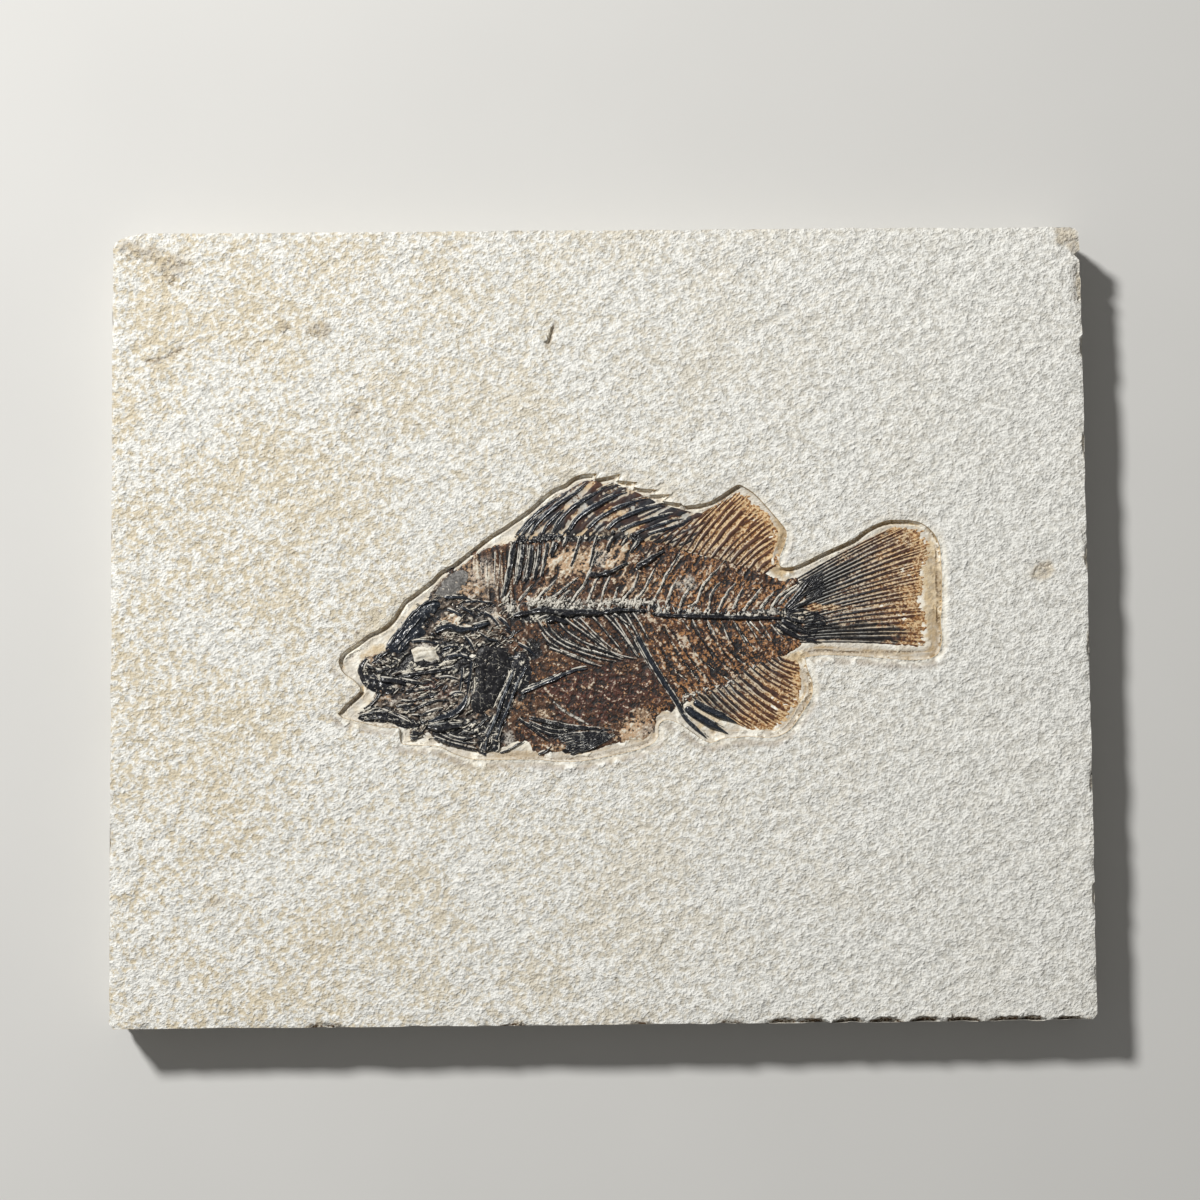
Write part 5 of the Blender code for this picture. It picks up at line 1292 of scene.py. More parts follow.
class MakeLimestonePlate(bpy.types.Operator):
    """The trimmed plate: grainy face, broken edges and flanks, and the scraped recess round the fish"""

    bl_idname = "fossil.limestone_plate"
    bl_label = "Limestone Plate"

    def execute(self, context):
        sizes = context.scene.fossil_sizes
        cell = sizes.stone_cell
        rng = np.random.default_rng(3)
        recess = Outline(RECESS_OUTLINE, 0.42)
        rim = recess.loop
        toe = recess.moved(0.2)
        border = plate_border(cell)
        edge = Outline(border, STRAIGHT)
        border_count = len(border)
        rim_count = len(rim)

        coarse = strewn(*FACE_BOX, cell, 0.24 * cell, rng)
        fine = strewn(*FISH_BOX, FINE_CELL, 0.08, rng)
        chipped = np.concatenate([
            strewn((cx - rx, cy - ry), (cx + rx, cy + ry), FINE_CELL, 0.1, rng)
            for cx, cy, rx, ry, *_ in FACE_SCARS])
        depth_coarse, depth_fine, depth_chipped = (recess.depth(*p.T)[0] for p in (coarse, fine, chipped))
        outer = np.concatenate([
            coarse[depth_coarse < -2.2],
            fine[(depth_fine < -0.25) & (depth_fine > -2.3)],
            chipped[depth_chipped < -2.2],
        ])
        outer = outer[edge.depth(*outer.T)[0] > 0.35 * cell]
        flat = np.concatenate([border, rim, outer])
        loops = [(0, border_count), (border_count, rim_count)]

        def on_face(x, y):
            return edge.inside(x, y) & ~recess.inside(x, y)

        spots, top_faces = flat_triangles(flat, loops, on_face)

        x, y = spots.T
        depth, nearest = recess.depth(x, y)
        gap = np.maximum(-depth, 0.0)
        away = (spots - nearest) / np.maximum(gap, 1e-6)[:, None]
        side = np.clip(0.75 * away[:, 0] - 0.65 * away[:, 1], 0.0, 1.0)
        height = stone_height(x, y, sizes.grain_height, gap, side)
        worn = ramp(0.9, 0.0, edge.depth(x, y)[0])
        height -= worn * (0.14 + 0.24 * noise(x, y, 2.6, 14))
        top = np.column_stack([spots, np.minimum(height, HIGHEST)])

        inner = fine[(depth_fine > 0.45) & (depth_fine < 4.2)]
        inner = np.concatenate([inner, coarse[depth_coarse >= 4.2]])
        floor_edge = Outline(toe, STRAIGHT)
        floor_flat = np.concatenate([toe, inner])
        floor_spots, floor_faces = flat_triangles(floor_flat, [(0, rim_count)], floor_edge.inside)
        fx, fy = floor_spots.T
        floor_depth, toe_spot = floor_edge.depth(fx, fy)
        inward = (floor_spots - toe_spot) / np.maximum(floor_depth, 1e-6)[:, None]
        lit_side = np.clip(0.65 * inward[:, 1] - 0.75 * inward[:, 0], 0.0, 1.0)
        dark_side = np.clip(0.75 * inward[:, 0] - 0.65 * inward[:, 1], 0.0, 1.0)
        step_line = floor_depth - 1.1 - 0.25 * noise(fx, fy, 3.0, 17)
        lip = floor_depth - 1.15 - 0.12 * noise(fx, fy, 5.0, 26)
        floor_cracks = stroke_field(fx, fy, FLOOR_CRACKS)
        trench = ramp(0.1, 0.5, dark_side) * ramp(0.95, 0.5, floor_depth) * ramp(-24.0, -21.0, fy)
        floor_z = FLOOR + 0.05 * noise(fx, fy, 4.0, 15) + 0.035 * noise(fx, fy, 1.3, 16)
        floor_z += 0.3 * ramp(0.6, 0.0, floor_depth) + 0.3 * lit_side * np.exp(-(step_line / 0.3) ** 2)
        floor_z += 0.22 * dark_side * np.exp(-(lip / 0.22) ** 2) - 0.16 * floor_cracks - 0.5 * trench
        floor = np.column_stack([floor_spots, floor_z])

        wall_rings = []
        rim_z = top[border_count:border_count + rim_count, 2]
        for share in (0.3, 0.68):
            ring = rim + (toe - rim) * share**2 + 0.05 * noise(*(2.0 * rim.T), 1.1, 18)[:, None]
            wall_rings.append(np.column_stack([ring, rim_z * (1.0 - share) + floor[:rim_count, 2] * share]))

        along = np.concatenate([[0.0], np.cumsum(np.linalg.norm(np.diff(border, axis=0), axis=1))])
        outward = border / np.linalg.norm(border, axis=1, keepdims=True)
        square = np.where(abs(outward[:, :1]) > 0.775, [[1.0, 0.0]], [[0.0, 1.0]]) * np.sign(border)
        flanks = []
        for number, level in enumerate(FLANK_LEVELS):
            rough = 0.26 * noise(along, level, 3.4, 19) + 0.2 * noise(along, 3.1 * number, 9.0, 20)
            rough += 0.12 * noise(along, 1.7 * number, 1.3, 21)
            ledge = 0.12 * math.sin(2.1 * number) + 0.1 * math.sin(5.3 * number + 1.0)
            bulge = 0.3 * math.sin(math.pi * level / FACE)
            inset = 0.45 if level == 0.0 else 0.0
            push = np.clip(rough + ledge + bulge - inset, -0.9, 0.45)
            flanks.append(np.column_stack([border + square * push[:, None], np.full(border_count, level)]))

        pieces = [top, floor] + wall_rings + flanks
        starts = np.cumsum([0] + [len(p) for p in pieces])
        points = np.concatenate(pieces)
        points[:, :2] = np.clip(points[:, :2], *CORNERS)
        faces = [tuple(f) for f in top_faces] + [tuple(f + starts[1]) for f in floor_faces]
        wall_starts = border_count, starts[2], starts[3], starts[1]
        faces += band_faces([np.arange(rim_count) + first for first in wall_starts])
        flank_rings = [np.arange(border_count) + first for first in (0, *starts[4:-1])]
        faces += band_faces(flank_rings)
        faces.append(tuple(flank_rings[-1]))

        mesh = bpy.data.meshes.new("limestone_plate")
        mesh.from_pydata((points * MM).tolist(), [], [tuple(int(i) for i in f) for f in faces])
        plate = bpy.data.objects.new("limestone_plate", mesh)
        context.scene.collection.objects.link(plate)
        edit(plate)
        face_outwards()

        x, y, z = points[:len(top)].T
        south = np.clip(-0.5 * (spots[:, 1] - nearest[:, 1]) / np.maximum(gap, 0.4), 0.0, 1.0)
        tail_side = ramp(30.0, 60.0, x)
        tan = patch_field(x, y, [(*scar[:5], 0.9) for scar in FACE_SCARS], 25)
        halo = 0.12 + 0.13 * tail_side + 0.04 * south + 0.25 * ramp(-46.0, -54.0, x)
        halo = np.maximum(halo * np.exp(-gap / (1.3 + 1.1 * tail_side + 0.8 * south)), 0.35 * tan)
        grains = 0.6 * stroke_field(x, y, STONE_CRACKS)
        for (cx, cy), radius in DARK_GRAINS:
            grains = np.maximum(grains, 0.9 * ramp(1.3 * radius, 0.4 * radius, np.hypot(x - cx, y - cy)))
        # Painted shade, partly brown: flakes along the front edge face away from the lamp and are darkened
        grains = np.maximum(grains, 1.3 * ramp(-87.6, -88.9, y) * (tan > 0.15) * ramp(13.9, 13.4, z))
        scraped = ramp(1.8, 0.4, gap) * np.clip(0.35 + side, 0.0, 1.0)
        lined = ramp(2.6, 1.6, gap) * ramp(0.5, 0.9, gap) * np.clip(0.25 + 2.0 * south, 0.0, 1.0)

        floor_stain_and_shade = 0.02 + 0.22 * ramp(20.0, 60.0, fx) + 0.25 * noise(fx, fy, 3.0, 22)
        # Shadowed side: more stain a little way in; less on the lip, a painted highlight where it faces the
        # lamp
        floor_stain_and_shade += dark_side * (0.35 * ramp(1.5, 2.2, floor_depth) - 0.4 * np.exp(-(lip / 0.35) ** 2))
        # Painted shadow in the trench along the shadowed wall; on the lit side, a brown line beyond the
        # step
        floor_stain_and_shade += 0.6 * trench + 0.8 * lit_side * np.exp(-((step_line - 0.45) / 0.25) ** 2)
        floor_stain_and_shade += 0.4 * lit_side * np.exp(-((floor_depth - 0.55) / 0.22) ** 2)
        floor_stain_and_shade = np.maximum(floor_stain_and_shade, 1.5 * patch_field(fx, fy, FLOOR_STAINS, 24))
        floor_lined = ramp(3.2, 1.6, floor_depth) * (0.7 + 0.3 * lit_side)

        counts = len(top), len(floor), 2 * rim_count, len(FLANK_LEVELS) * border_count
        fields = {
            # Walls get 0.85 of the stain: painted shade that browns them all round
            "stain": (halo, np.clip(floor_stain_and_shade, 0.0, 1.4), 0.85, 0.0),
            "wall": (0.25 * np.minimum(gap, 4.0), 0.25 * np.clip(floor_depth, 0.0, 4.0), 0.0, 0.0),
            "lined": (lined, floor_lined, 0.0, 0.0),
            "scar": (tan, 0.0, 0.0, 0.0),
            "scraped": (scraped, 1.0, 1.0, 0.0),
            "flank": (0.0, 0.0, 0.0, 1.0),
            "dark_grain": (grains, 0.9 * floor_cracks, 0.0, 0.0),
        }
        for name, values in fields.items():
            laid = [np.broadcast_to(value, count) for value, count in zip(values, counts)]
            paint(plate, **{name: np.concatenate(laid)})
        hand_over(plate, "limestone", ["limestone_slab"], 42.0)
        return {"FINISHED"}


def band_faces(rings):
    """Four-sided faces between closed rings of point numbers."""
    faces = []
    for upper, lower in zip(rings, rings[1:]):
        following = np.roll(upper, -1), np.roll(lower, -1)
        faces += list(zip(upper, following[0], following[1], lower))
    return faces


def column_line(x):
    """Height of the backbone's middle at each place along the fish."""
    route = np.array(BACKBONE_ROUTE)
    return np.interp(x, route[:, 0], route[:, 1])


def skin_relief(x, y):
    """Fine relief of the pressed skin, from about -1 to 1: scales, fibres along the bones, and rubble."""
    above = ramp(-1.0, 2.0, y - column_line(x))
    head = ramp(-24.0, -29.0, x) * ramp(12.0, 7.0, y)
    nape = ramp(-16.0, -20.0, x) * above * (1.0 - head)
    upper = 0.55 * streaks(x, y, 2.4, 0.44, 54.0, 51) + 0.45 * noise(x, y, 0.45, 52)
    steep = 0.8 * streaks(x, y, 4.0, 0.42, 93.0, 53) + 0.3 * noise(x, y, 0.5, 54)
    lower = 0.6 * streaks(x, y, 2.4, 0.44, -56.0, 55) + 0.45 * noise(x, y, 0.5, 56)
    rubble = 0.55 * streaks(x, y, 2.2, 0.5, 34.0, 57) + 0.45 * streaks(x, y, 1.5, 0.45, -28.0, 58)
    rubble += 0.4 * noise(x, y, 0.45, 59)
    belly = (1.0 - above) * ramp(14.0, 8.0, x) * ramp(-5.0, -9.0, y)
    soft = 0.6 * streaks(x, y, 1.2, 0.5, -24.0, 60) + 0.5 * noise(x, y, 0.4, 61)
    relief = above * (1.0 - nape) * upper + above * nape * steep + (1.0 - above) * lower
    relief = relief * (1.0 - belly) + 0.75 * belly * soft
    return relief * (1.0 - head) + 1.2 * head * rubble


class MakePressedSkin(bpy.types.Operator):
    """The film of skin and flesh that the bones lie in, with its scales, fibres and stains"""

    bl_idname = "fossil.pressed_skin"
    bl_label = "Pressed Skin"

    def execute(self, context):
        outline = Outline(SKIN_OUTLINE, 0.4)
        loop = outline.loop
        ragged = outline.moved(1.0) - loop
        torn = 0.22 + 0.3 * ramp(-14.0, -20.0, loop[:, 1])
        ragged *= (torn * noise(*loop.T, 1.3, 70) + 0.28 * noise(*loop.T, 0.55, 71))[:, None]
        outline = Outline(loop + ragged, STRAIGHT)
        skin = cut_sheet(outline, context.scene.fossil_sizes.skin_cell)
        x, y, _ = points_of(skin).T
        rim_depth, _ = outline.depth(x, y)
        relief = skin_relief(x, y)
        strokes = stroke_field(x, y, BLACK_BODY_LINES)
        head = ramp(-22.0, -29.0, x) * ramp(12.0, 7.0, y)
        swell = 0.1 * noise(x, y, 7.0, 62) + 0.05 * noise(x, y, 2.4, 63)
        rise = SKIN_FACE + swell + (0.14 + 0.08 * head) * relief - 0.2 * strokes
        rise -= 0.3 * ramp(0.8, 0.0, rim_depth)
        place_points(skin, np.column_stack([x, y, rise]))
        char = np.maximum(patch_field(x, y, CHAR_PATCHES, 64), 1.3 * strokes)
        char = np.maximum(char, 0.55 * ramp(0.5, 0.0, rim_depth) * (x > -20.0))
        lean = np.where(y > column_line(x), 1.0, -1.0)
        paint(
            skin, char=np.clip(char, 0.0, 1.0), ochre=patch_field(x, y, OCHRE_PATCHES, 65),
            pale=patch_field(x, y, PALE_PATCHES, 66), red=patch_field(x, y, RED_PATCHES, 67),
            rust=ramp(4.0, 18.0, x), ashen=ramp(-18.0, -27.0, x) * ramp(13.0, 8.0, y),
            rows=0.1 * (0.81 * x - 0.59 * lean * y), crest=np.clip(0.5 + 0.8 * relief, 0.0, 1.0))
        close_below(skin, SKIN_BED)
        skin.name = "pressed_skin"
        hand_over(skin, "pressed_skin", ["scaly_body"])
        return {"FINISHED"}


def finish_bones(obj, finish, nodes, grain, strength):
    """Roughens bones, marks their crests and lamp-facing sides for a painted highlight, and hands them
    over.
    """
    roughen(obj, grain, strength)
    hold_below(obj, HIGHEST)
    points = points_of(obj)
    normals = np.empty(3 * len(points))
    obj.data.vertex_normals.foreach_get("vector", normals)
    # rim: how squarely each point faces the lamp at the upper left, painted paler by the finish as a
    # highlight
    lit = 0.75 * normals[1::3] - 0.65 * normals[0::3]
    paint(obj, crest=ramp(BONE_BED, BONE_BED + 0.45, points[:, 2]), rim=ramp(0.3, 0.8, lit))
    hand_over(obj, finish, nodes, 55.0)


def swept_piece(name, bones, step, finish, nodes=(), grain=0.6, strength=0.2, **shape):
    """One finished piece made of slender bones."""
    finish_bones(sweep_bones(name, bones, step, **shape), finish, nodes, grain, strength)


def bone_plate(name, outline_points, height, grooves, cell):
    """A flat bone cut from a sheet: domed, scored by grooves, with a ragged rim."""
    outline = Outline(outline_points, 0.6)
    plate = cut_sheet(outline, cell)
    points = points_of(plate)
    x, y, _ = points.T
    depth, _ = outline.depth(x, y)
    dome = ramp(0.0, 1.1, depth) * height
    dome += 0.1 * streaks(x, y, 2.6, 0.6, -62.0, 72) + 0.07 * noise(x, y, 0.8, 73)
    dome += 0.09 * noise(x, y, 2.2, 74)
    dome -= 0.16 * stroke_field(x, y, grooves)
    place_points(plate, np.column_stack([x, y, BONE_BED + 0.05 + dome]))
    close_below(plate, SKIN_BED + 0.2)
    plate.name = name
    return plate


class MakeSkullBones(bpy.types.Operator):
    """Roof of the skull, brow, temple and nape"""

    bl_idname = "fossil.skull_bones"
    bl_label = "Skull Bones"

    def execute(self, context):
        swept_piece(
            "skull_bones", SKULL_BONES, 0.5, "blue_bone", ["brow_bone", "temple_bone"], 0.8, 0.45,
            wander=0.16, lift=0.1)
        nape = bone_plate("nape_bone_plate", NAPE_PLATE, 0.1, HEAD_GROOVES, 0.26)
        finish_bones(nape, "film_bone", ["nape_plate"], 1.2, 0.25)
        roof = bone_plate("skull_roof_plate", SKULL_ROOF, 0.4, HEAD_GROOVES, 0.26)
        finish_bones(roof, "steel_bone", ["skull_roof"], 0.8, 0.4)
        return {"FINISHED"}


class MakeJawBones(bpy.types.Operator):
    """Snout, jaws, palate and cheek"""

    bl_idname = "fossil.jaw_bones"
    bl_label = "Jaw Bones"

    def execute(self, context):
        nodes = ["snout_bone", "palate_bar", "jaw_rod", "jaw_hinge_bone"]
        swept_piece(
            "jaw_bones", JAW_BONES, 0.5, "dark_bone", nodes, 0.8, 0.4, tip=0.45, wander=0.16, lift=0.1)
        for name, outline in (("upper_jaw", UPPER_JAW), ("lower_jaw", LOWER_JAW)):
            plate = bone_plate(name + "_plate", outline, 0.4, HEAD_GROOVES, 0.26)
            finish_bones(plate, "cracked_bone", [name], 0.8, 0.5)
        return {"FINISHED"}


class MakeGillBones(bpy.types.Operator):
    """Gill cover, cheek crescent, shoulder girdle and throat"""

    bl_idname = "fossil.gill_bones"
    bl_label = "Gill and Shoulder Bones"

    def execute(self, context):
        cell = context.scene.fossil_sizes.plate_cell
        cover = bone_plate("gill_cover_plate", GILL_COVER_OUTLINE, 0.35, GILL_GROOVES, cell)
        z = points_of(cover)[:, 2]
        paint(cover, crest=0.35 * ramp(BONE_BED, BONE_BED + 0.6, z), rim=0.0 * z)
        hand_over(cover, "gill_bone", ["gill_cover"], 55.0)
        swept_piece(
            "cheek_crescent", CHEEK_BONES, 0.5, "blue_bone", ["cheek_bone"], 0.9, 0.22, blunt=0.7,
            wobble=0.2, lift=0.12)
        swept_piece(
            "shoulder_girdle", SHOULDER_BONES, 0.5, "steel_bone", ["shoulder_rod"], 0.8, 0.34,
            blunt=0.75, tip=0.35, wobble=0.25, lift=0.05)
        blade = bone_plate("shoulder_blade", SHOULDER_BLADE, 0.22, HEAD_GROOVES, 0.26)
        finish_bones(blade, "cracked_bone", ["shoulder_bone"], 0.8, 0.4)
        swept_piece(
            "throat_bones", THROAT_BONES, 0.5, "dark_bone", ["throat_plate", "throat_bone"], 0.8, 0.3,
            blunt=0.75, tip=0.3, wobble=0.25, lift=0.1)
        return {"FINISHED"}


class MakeSocketFill(bpy.types.Operator):
    """Pale matrix in the eye socket"""

    bl_idname = "fossil.socket_fill"
    bl_label = "Eye Socket Fill"

    def execute(self, context):
        fill = bone_plate("socket_fill", SOCKET_OUTLINE, 0.5, SOCKET_GROOVES, 0.22)
        hand_over(fill, "pale_fill", ["eye_socket_fill"], 50.0)
        return {"FINISHED"}


def splinters(region, count, seed, length, width, headings, bow=0.35):
    """Short broken bones strewn over a region, each a width, a route of three points and a lift."""
    rng = np.random.default_rng(seed)
    outline = Outline(region, 2.0)
    low = outline.loop.min(0)
    high = outline.loop.max(0)
    slivers = []
    while len(slivers) < count:
        spot = rng.uniform(low, high)
        clump = noise(spot[:1], spot[1:], 3.6, seed)[0]
        if clump < -0.15 or not outline.inside(spot[:1], spot[1:])[0]:
            continue
        heading = math.radians(rng.choice(headings) + rng.normal(0.0, 14.0))
        half = 0.5 * rng.uniform(*length)
        run = np.array([math.cos(heading), math.sin(heading)]) * half
        middle = spot + np.array([-run[1], run[0]]) * rng.uniform(-bow, bow)
        route = [tuple(spot - run), tuple(middle), tuple(spot + run)]
        slivers.append((rng.uniform(*width), route, rng.uniform(-0.1, 0.12)))
    return slivers


class MakeHeadSplinters(bpy.types.Operator):
    """Broken slivers of bone and pale cracks all over the crushed head"""

    bl_idname = "fossil.head_splinters"
    bl_label = "Head Splinters"

    def execute(self, context):
        count = context.scene.fossil_sizes.rubble_pieces
        headings = (25.0, 40.0, -22.0, 8.0)
        dark = splinters(HEAD_REGION, count, 11, (0.7, 2.6), (0.4, 1.0), headings)
        swept_piece(
            "dark_splinters", dark, 0.45, "dark_bone", tip=0.5, wobble=0.2, wander=0.08, lift=-0.12)
        light = splinters(HEAD_REGION, count, 12, (0.5, 2.6), (0.18, 0.42), headings, 0.12)
        light += broken(PALE_HEAD_LINES, 19, (2.4, 6.0), 0.1)
        swept_piece(
            "pale_head_lines", light, 0.35, "cream_line", tip=0.3, wobble=0.6, wander=0.14, lift=0.1)
        # Pale lines along one side of each head bone and the upper rims of the plates: painted highlights
        bones = SKULL_BONES + JAW_BONES + THROAT_BONES + CHEEK_BONES + SHOULDER_BONES
        edges = broken(beside(bones, 0.08, 0.34, 0.22), 33, (1.4, 5.0), 0.06)
        rims = SKULL_ROOF[:5], UPPER_JAW[:6], LOWER_JAW[:6], SHOULDER_BLADE[:6], SHOULDER_BLADE[8:12]
        edges += broken([(0.34, rim, 0.2) for rim in rims], 34, (1.0, 4.0), 0.1)
        swept_piece("head_bone_edges", edges, 0.4, "grey_bone", grain=0.5, blunt=0.9, wobble=0.6)
        return {"FINISHED"}


class MakeBackbone(bpy.types.Operator):
    """The crushed column of vertebrae with the spines above and below it"""

    bl_idname = "fossil.backbone"
    bl_label = "Backbone"

    def execute(self, context):
        joints = share_points(smooth_route(BACKBONE_ROUTE, 0.4), np.linspace(0.0, 1.0, 29))
        bodies = []
        for number, (here, there) in enumerate(zip(joints, joints[1:])):
            half = 0.95 - 0.45 * number / len(joints)
            run = (there - here) / np.linalg.norm(there - here)
            across = np.array([-run[1], run[0]])
            lean = 0.5 * math.sin(2.3 * number)
            body = here + across * half + run * lean, here, here - across * half
            bodies.append((0.62, [tuple(spot) for spot in body], 0.1))
        strip = ribbon(BACKBONE_ROUTE, 1.6, 0.6)
        bodies += splinters(strip, 210, 13, (0.6, 1.9), (0.3, 0.8), (65.0, 100.0, 15.0, -35.0))
        crest = ribbon([(-21.6, 4.8), (-12.0, 5.0), (-2.0, 4.9), (12.0, 4.5)], 1.0, 0.5)
        lumps = splinters(crest, 130, 35, (0.5, 1.6), (0.35, 0.65), (20.0, -25.0, 75.0))
        swept_piece("column_lumps", lumps, 0.35, "grey_bone", strength=0.3, tip=0.5, wobble=0.4, lift=0.25)
        processes = [(0.52, route, 0.06) for route in NEURAL_SPINES]
        processes += [(0.34, route, 0.02) for route in HAEMAL_SPINES]
        swept_piece(
            "spine_column", bodies, 0.35, "worn_bone", ["backbone"], 0.6, 0.4, tip=0.5, wobble=0.4,
            wander=0.16)
        swept_piece(
            "spine_processes", processes, 0.45, "worn_bone", strength=0.35, blunt=1.2, tip=0.3,
            wander=0.12)
        shade = beside([(0.5, route) for route in NEURAL_SPINES], -0.1, 0.4, -0.05)
        shade += splinters(strip, 150, 14, (0.5, 1.4), (0.35, 0.75), (70.0, 20.0, -40.0))
        shade += [(1.4 * width, route, 0.1) for width, route in BLACK_BODY_LINES[:5]]
        swept_piece("spine_shadow_bones", shade, 0.4, "dark_bone", strength=0.25, blunt=0.9, wobble=0.35)
        return {"FINISHED"}


class MakeRibs(bpy.types.Operator):
    """Fan of ribs behind the shoulder"""

    bl_idname = "fossil.ribs"
    bl_label = "Ribs"

    def execute(self, context):
        ribs = [(1.2 * width, route) for width, route in RIBS]
        nodes = [f"rib_{number}" for number in range(1, 10)]
        swept_piece(
            "rib_fan", ribs, 0.4, "dark_bone", nodes, 0.8, 0.12, blunt=1.0, tip=0.35, wobble=0.2,
            wander=0.05)
        # Pale lines along the upper side of each rib: painted highlights
        swept_piece(
            "rib_edges", beside(RIBS, 0.12, 0.36), 0.4, "grey_bone", grain=0.5, strength=0.14,
            blunt=1.0, wander=0.04)
        return {"FINISHED"}


class MakeFinSupports(bpy.types.Operator):
    """Blades and knobbly bases that carry the fins"""

    bl_idname = "fossil.fin_supports"
    bl_label = "Fin Supports"

    def execute(self, context):
        strip = ribbon(DORSAL_BASE_ROUTE, 0.8, 0.7)
        knobs = splinters(strip, 85, 15, (0.5, 1.2), (0.5, 0.95), (60.0, 85.0, 25.0))
        nodes = [f"fin_support_{number}" for number in range(1, 6)] + ["dorsal_fin_base"]
        swept_piece(
            "fin_supports", FIN_SUPPORTS + knobs, 0.4, "dark_bone", nodes, 0.6, 0.34, blunt=0.9, tip=0.5)
        # Pale lines on the lamp side of each blade: painted highlights
        lines = beside(FIN_SUPPORTS, -0.08, 0.34) + PALE_SUPPORT_LINES
        strip = ribbon(DORSAL_BASE_ROUTE, 0.9, 0.8)
        lines += splinters(strip, 45, 16, (0.3, 0.8), (0.25, 0.45), (70.0, 10.0))
        strip = ribbon(ANAL_BASE_ROUTE, 0.5, 0.4)
        lines += splinters(strip, 40, 17, (0.4, 1.1), (0.3, 0.55), (35.0, 80.0, -20.0))
        lines += beside([ANAL_SUPPORT], 0.05, 0.35) + beside([ANAL_SUPPORT], -0.05, 0.3)
        swept_piece(
            "fin_support_edges", lines, 0.45, "grey_bone", grain=0.5, blunt=0.9, wobble=0.4, wander=0.08)
        swept_piece(
            "anal_support_rod", [ANAL_SUPPORT], 0.4, "blue_bone", ["anal_support"], 0.8, 0.2, blunt=0.7,
            tip=0.7, wobble=0.2, lift=0.05)
        return {"FINISHED"}


def pelvic_rays(count):
    """The dark rays of the folded pelvic fin, laid between its upper and its lower ray."""
    upper, lower = np.array(PELVIC_FAN)
    shares = (np.arange(count) + 0.3) / count
    return [(0.7, [tuple(spot) for spot in upper + (lower - upper) * share]) for share in shares]


class MakeFinSpines(bpy.types.Operator):
    """Hard spines and web of the back fin, spines of the anal fin, tail roots and folded pelvic fin"""

    bl_idname = "fossil.fin_spines"
    bl_label = "Fin Spines"

    def execute(self, context):
        web, x, y, lines = spiny_web()
        gleam = np.clip(1.0 - 2.2 * lines + 0.6 * noise(x, y, 1.2, 93), 0.0, 1.0)
        paint(web, ray=lines, gleam=gleam, reach=0.42 + 0.3 * noise(x, y, 2.4, 94),
              char=0.26 + 0.64 * ramp(22.5, 19.5, y + 0.05 * x))
        close_below(web, FIN_BED)
        web.name = "spiny_fin_web"
        hand_over(web, "amber_fin", [])
        nodes = [f"dorsal_spine_{number}" for number in range(1, 10)]
        swept_piece(
            "dorsal_spines", DORSAL_SPINES, 0.45, "steel_bone", nodes, 1.2, 0.12, blunt=0.5, tip=0.1,
            wobble=0.1, wander=0.04)
        nodes = [f"anal_spine_{number}" for number in range(1, 4)]
        swept_piece(
            "anal_spines", ANAL_SPINES, 0.4, "blue_bone", nodes, 1.2, 0.05, tip=0.06, wobble=0.04,
            wander=0.02)
        rays = PELVIC_RODS + pelvic_rays(8)
        # Pale lines on one side of each spine, pelvic ray and tail root: painted highlights
        lines = broken(beside(DORSAL_SPINES + ANAL_SPINES, 0.05, 0.32), 31, (2.0, 6.0), 0.04)
        lines += beside(rays, 0.05, 0.25) + beside(TAIL_ROOTS, 0.05, 0.3)
        swept_piece(
            "spine_edges", lines, 0.45, "grey_bone", strength=0.14, blunt=1.0, tip=0.25, wobble=0.5,
            wander=0.05, lift=-0.1)
        upper = ribbon([(47.0, 9.6), (48.0, 7.0), (47.4, 4.8)], 2.6, 1.8)
        lower = ribbon([(47.4, 1.8), (47.6, -0.6), (46.4, -4.2)], 2.8, 2.4)
        roots = TAIL_ROOTS + splinters(upper, 40, 27, (1.6, 4.6), (0.2, 0.42), (38.0, 26.0), 0.05)
        roots += splinters(lower, 40, 28, (1.6, 4.6), (0.2, 0.42), (-4.0, -16.0), 0.05)
        nodes = [f"tail_root_{number}" for number in range(1, 4)]
        swept_piece("tail_roots", roots, 0.45, "dark_bone", nodes, 0.8, 0.2, tip=0.3, wobble=0.15)
        swept_piece(
            "pelvic_spine_bone", [PELVIC_SPINE], 0.4, "strut_bone", ["pelvic_spine"], 0.6, 0.3, tip=0.5,
            wander=0.12)
        swept_piece("pelvic_rays", rays, 0.4, "dark_bone", ["pelvic_fin"], 0.6, 0.25, tip=0.3, wander=0.14)
        return {"FINISHED"}


def spiny_web():
    """The film between the spines of the back fin, ridged along them, and its place and lines."""
    outline = Outline(SPINY_WEB, 0.6)
    web = cut_sheet(outline, 0.24)
    x, y, _ = points_of(web).T
    rearward = ramp(-8.0, 12.0, x)
    lines = (1.0 - rearward) * streaks(x, y, 5.0, 0.5, 46.0, 91)
    lines = lines + rearward * streaks(x, y, 5.0, 0.5, 24.0, 92)
    lines = 0.45 + 0.9 * lines + 0.3 * noise(x, y, 0.5, 96)
    depth, _ = outline.depth(x, y)
    rise = FLOOR + 0.16 + 0.14 * lines + 0.07 * noise(x, y, 0.9, 95) - 0.16 * ramp(0.7, 0.0, depth)
    place_points(web, np.column_stack([x, y, rise]))
    return web, x, y, np.clip(lines, 0.0, 1.0)


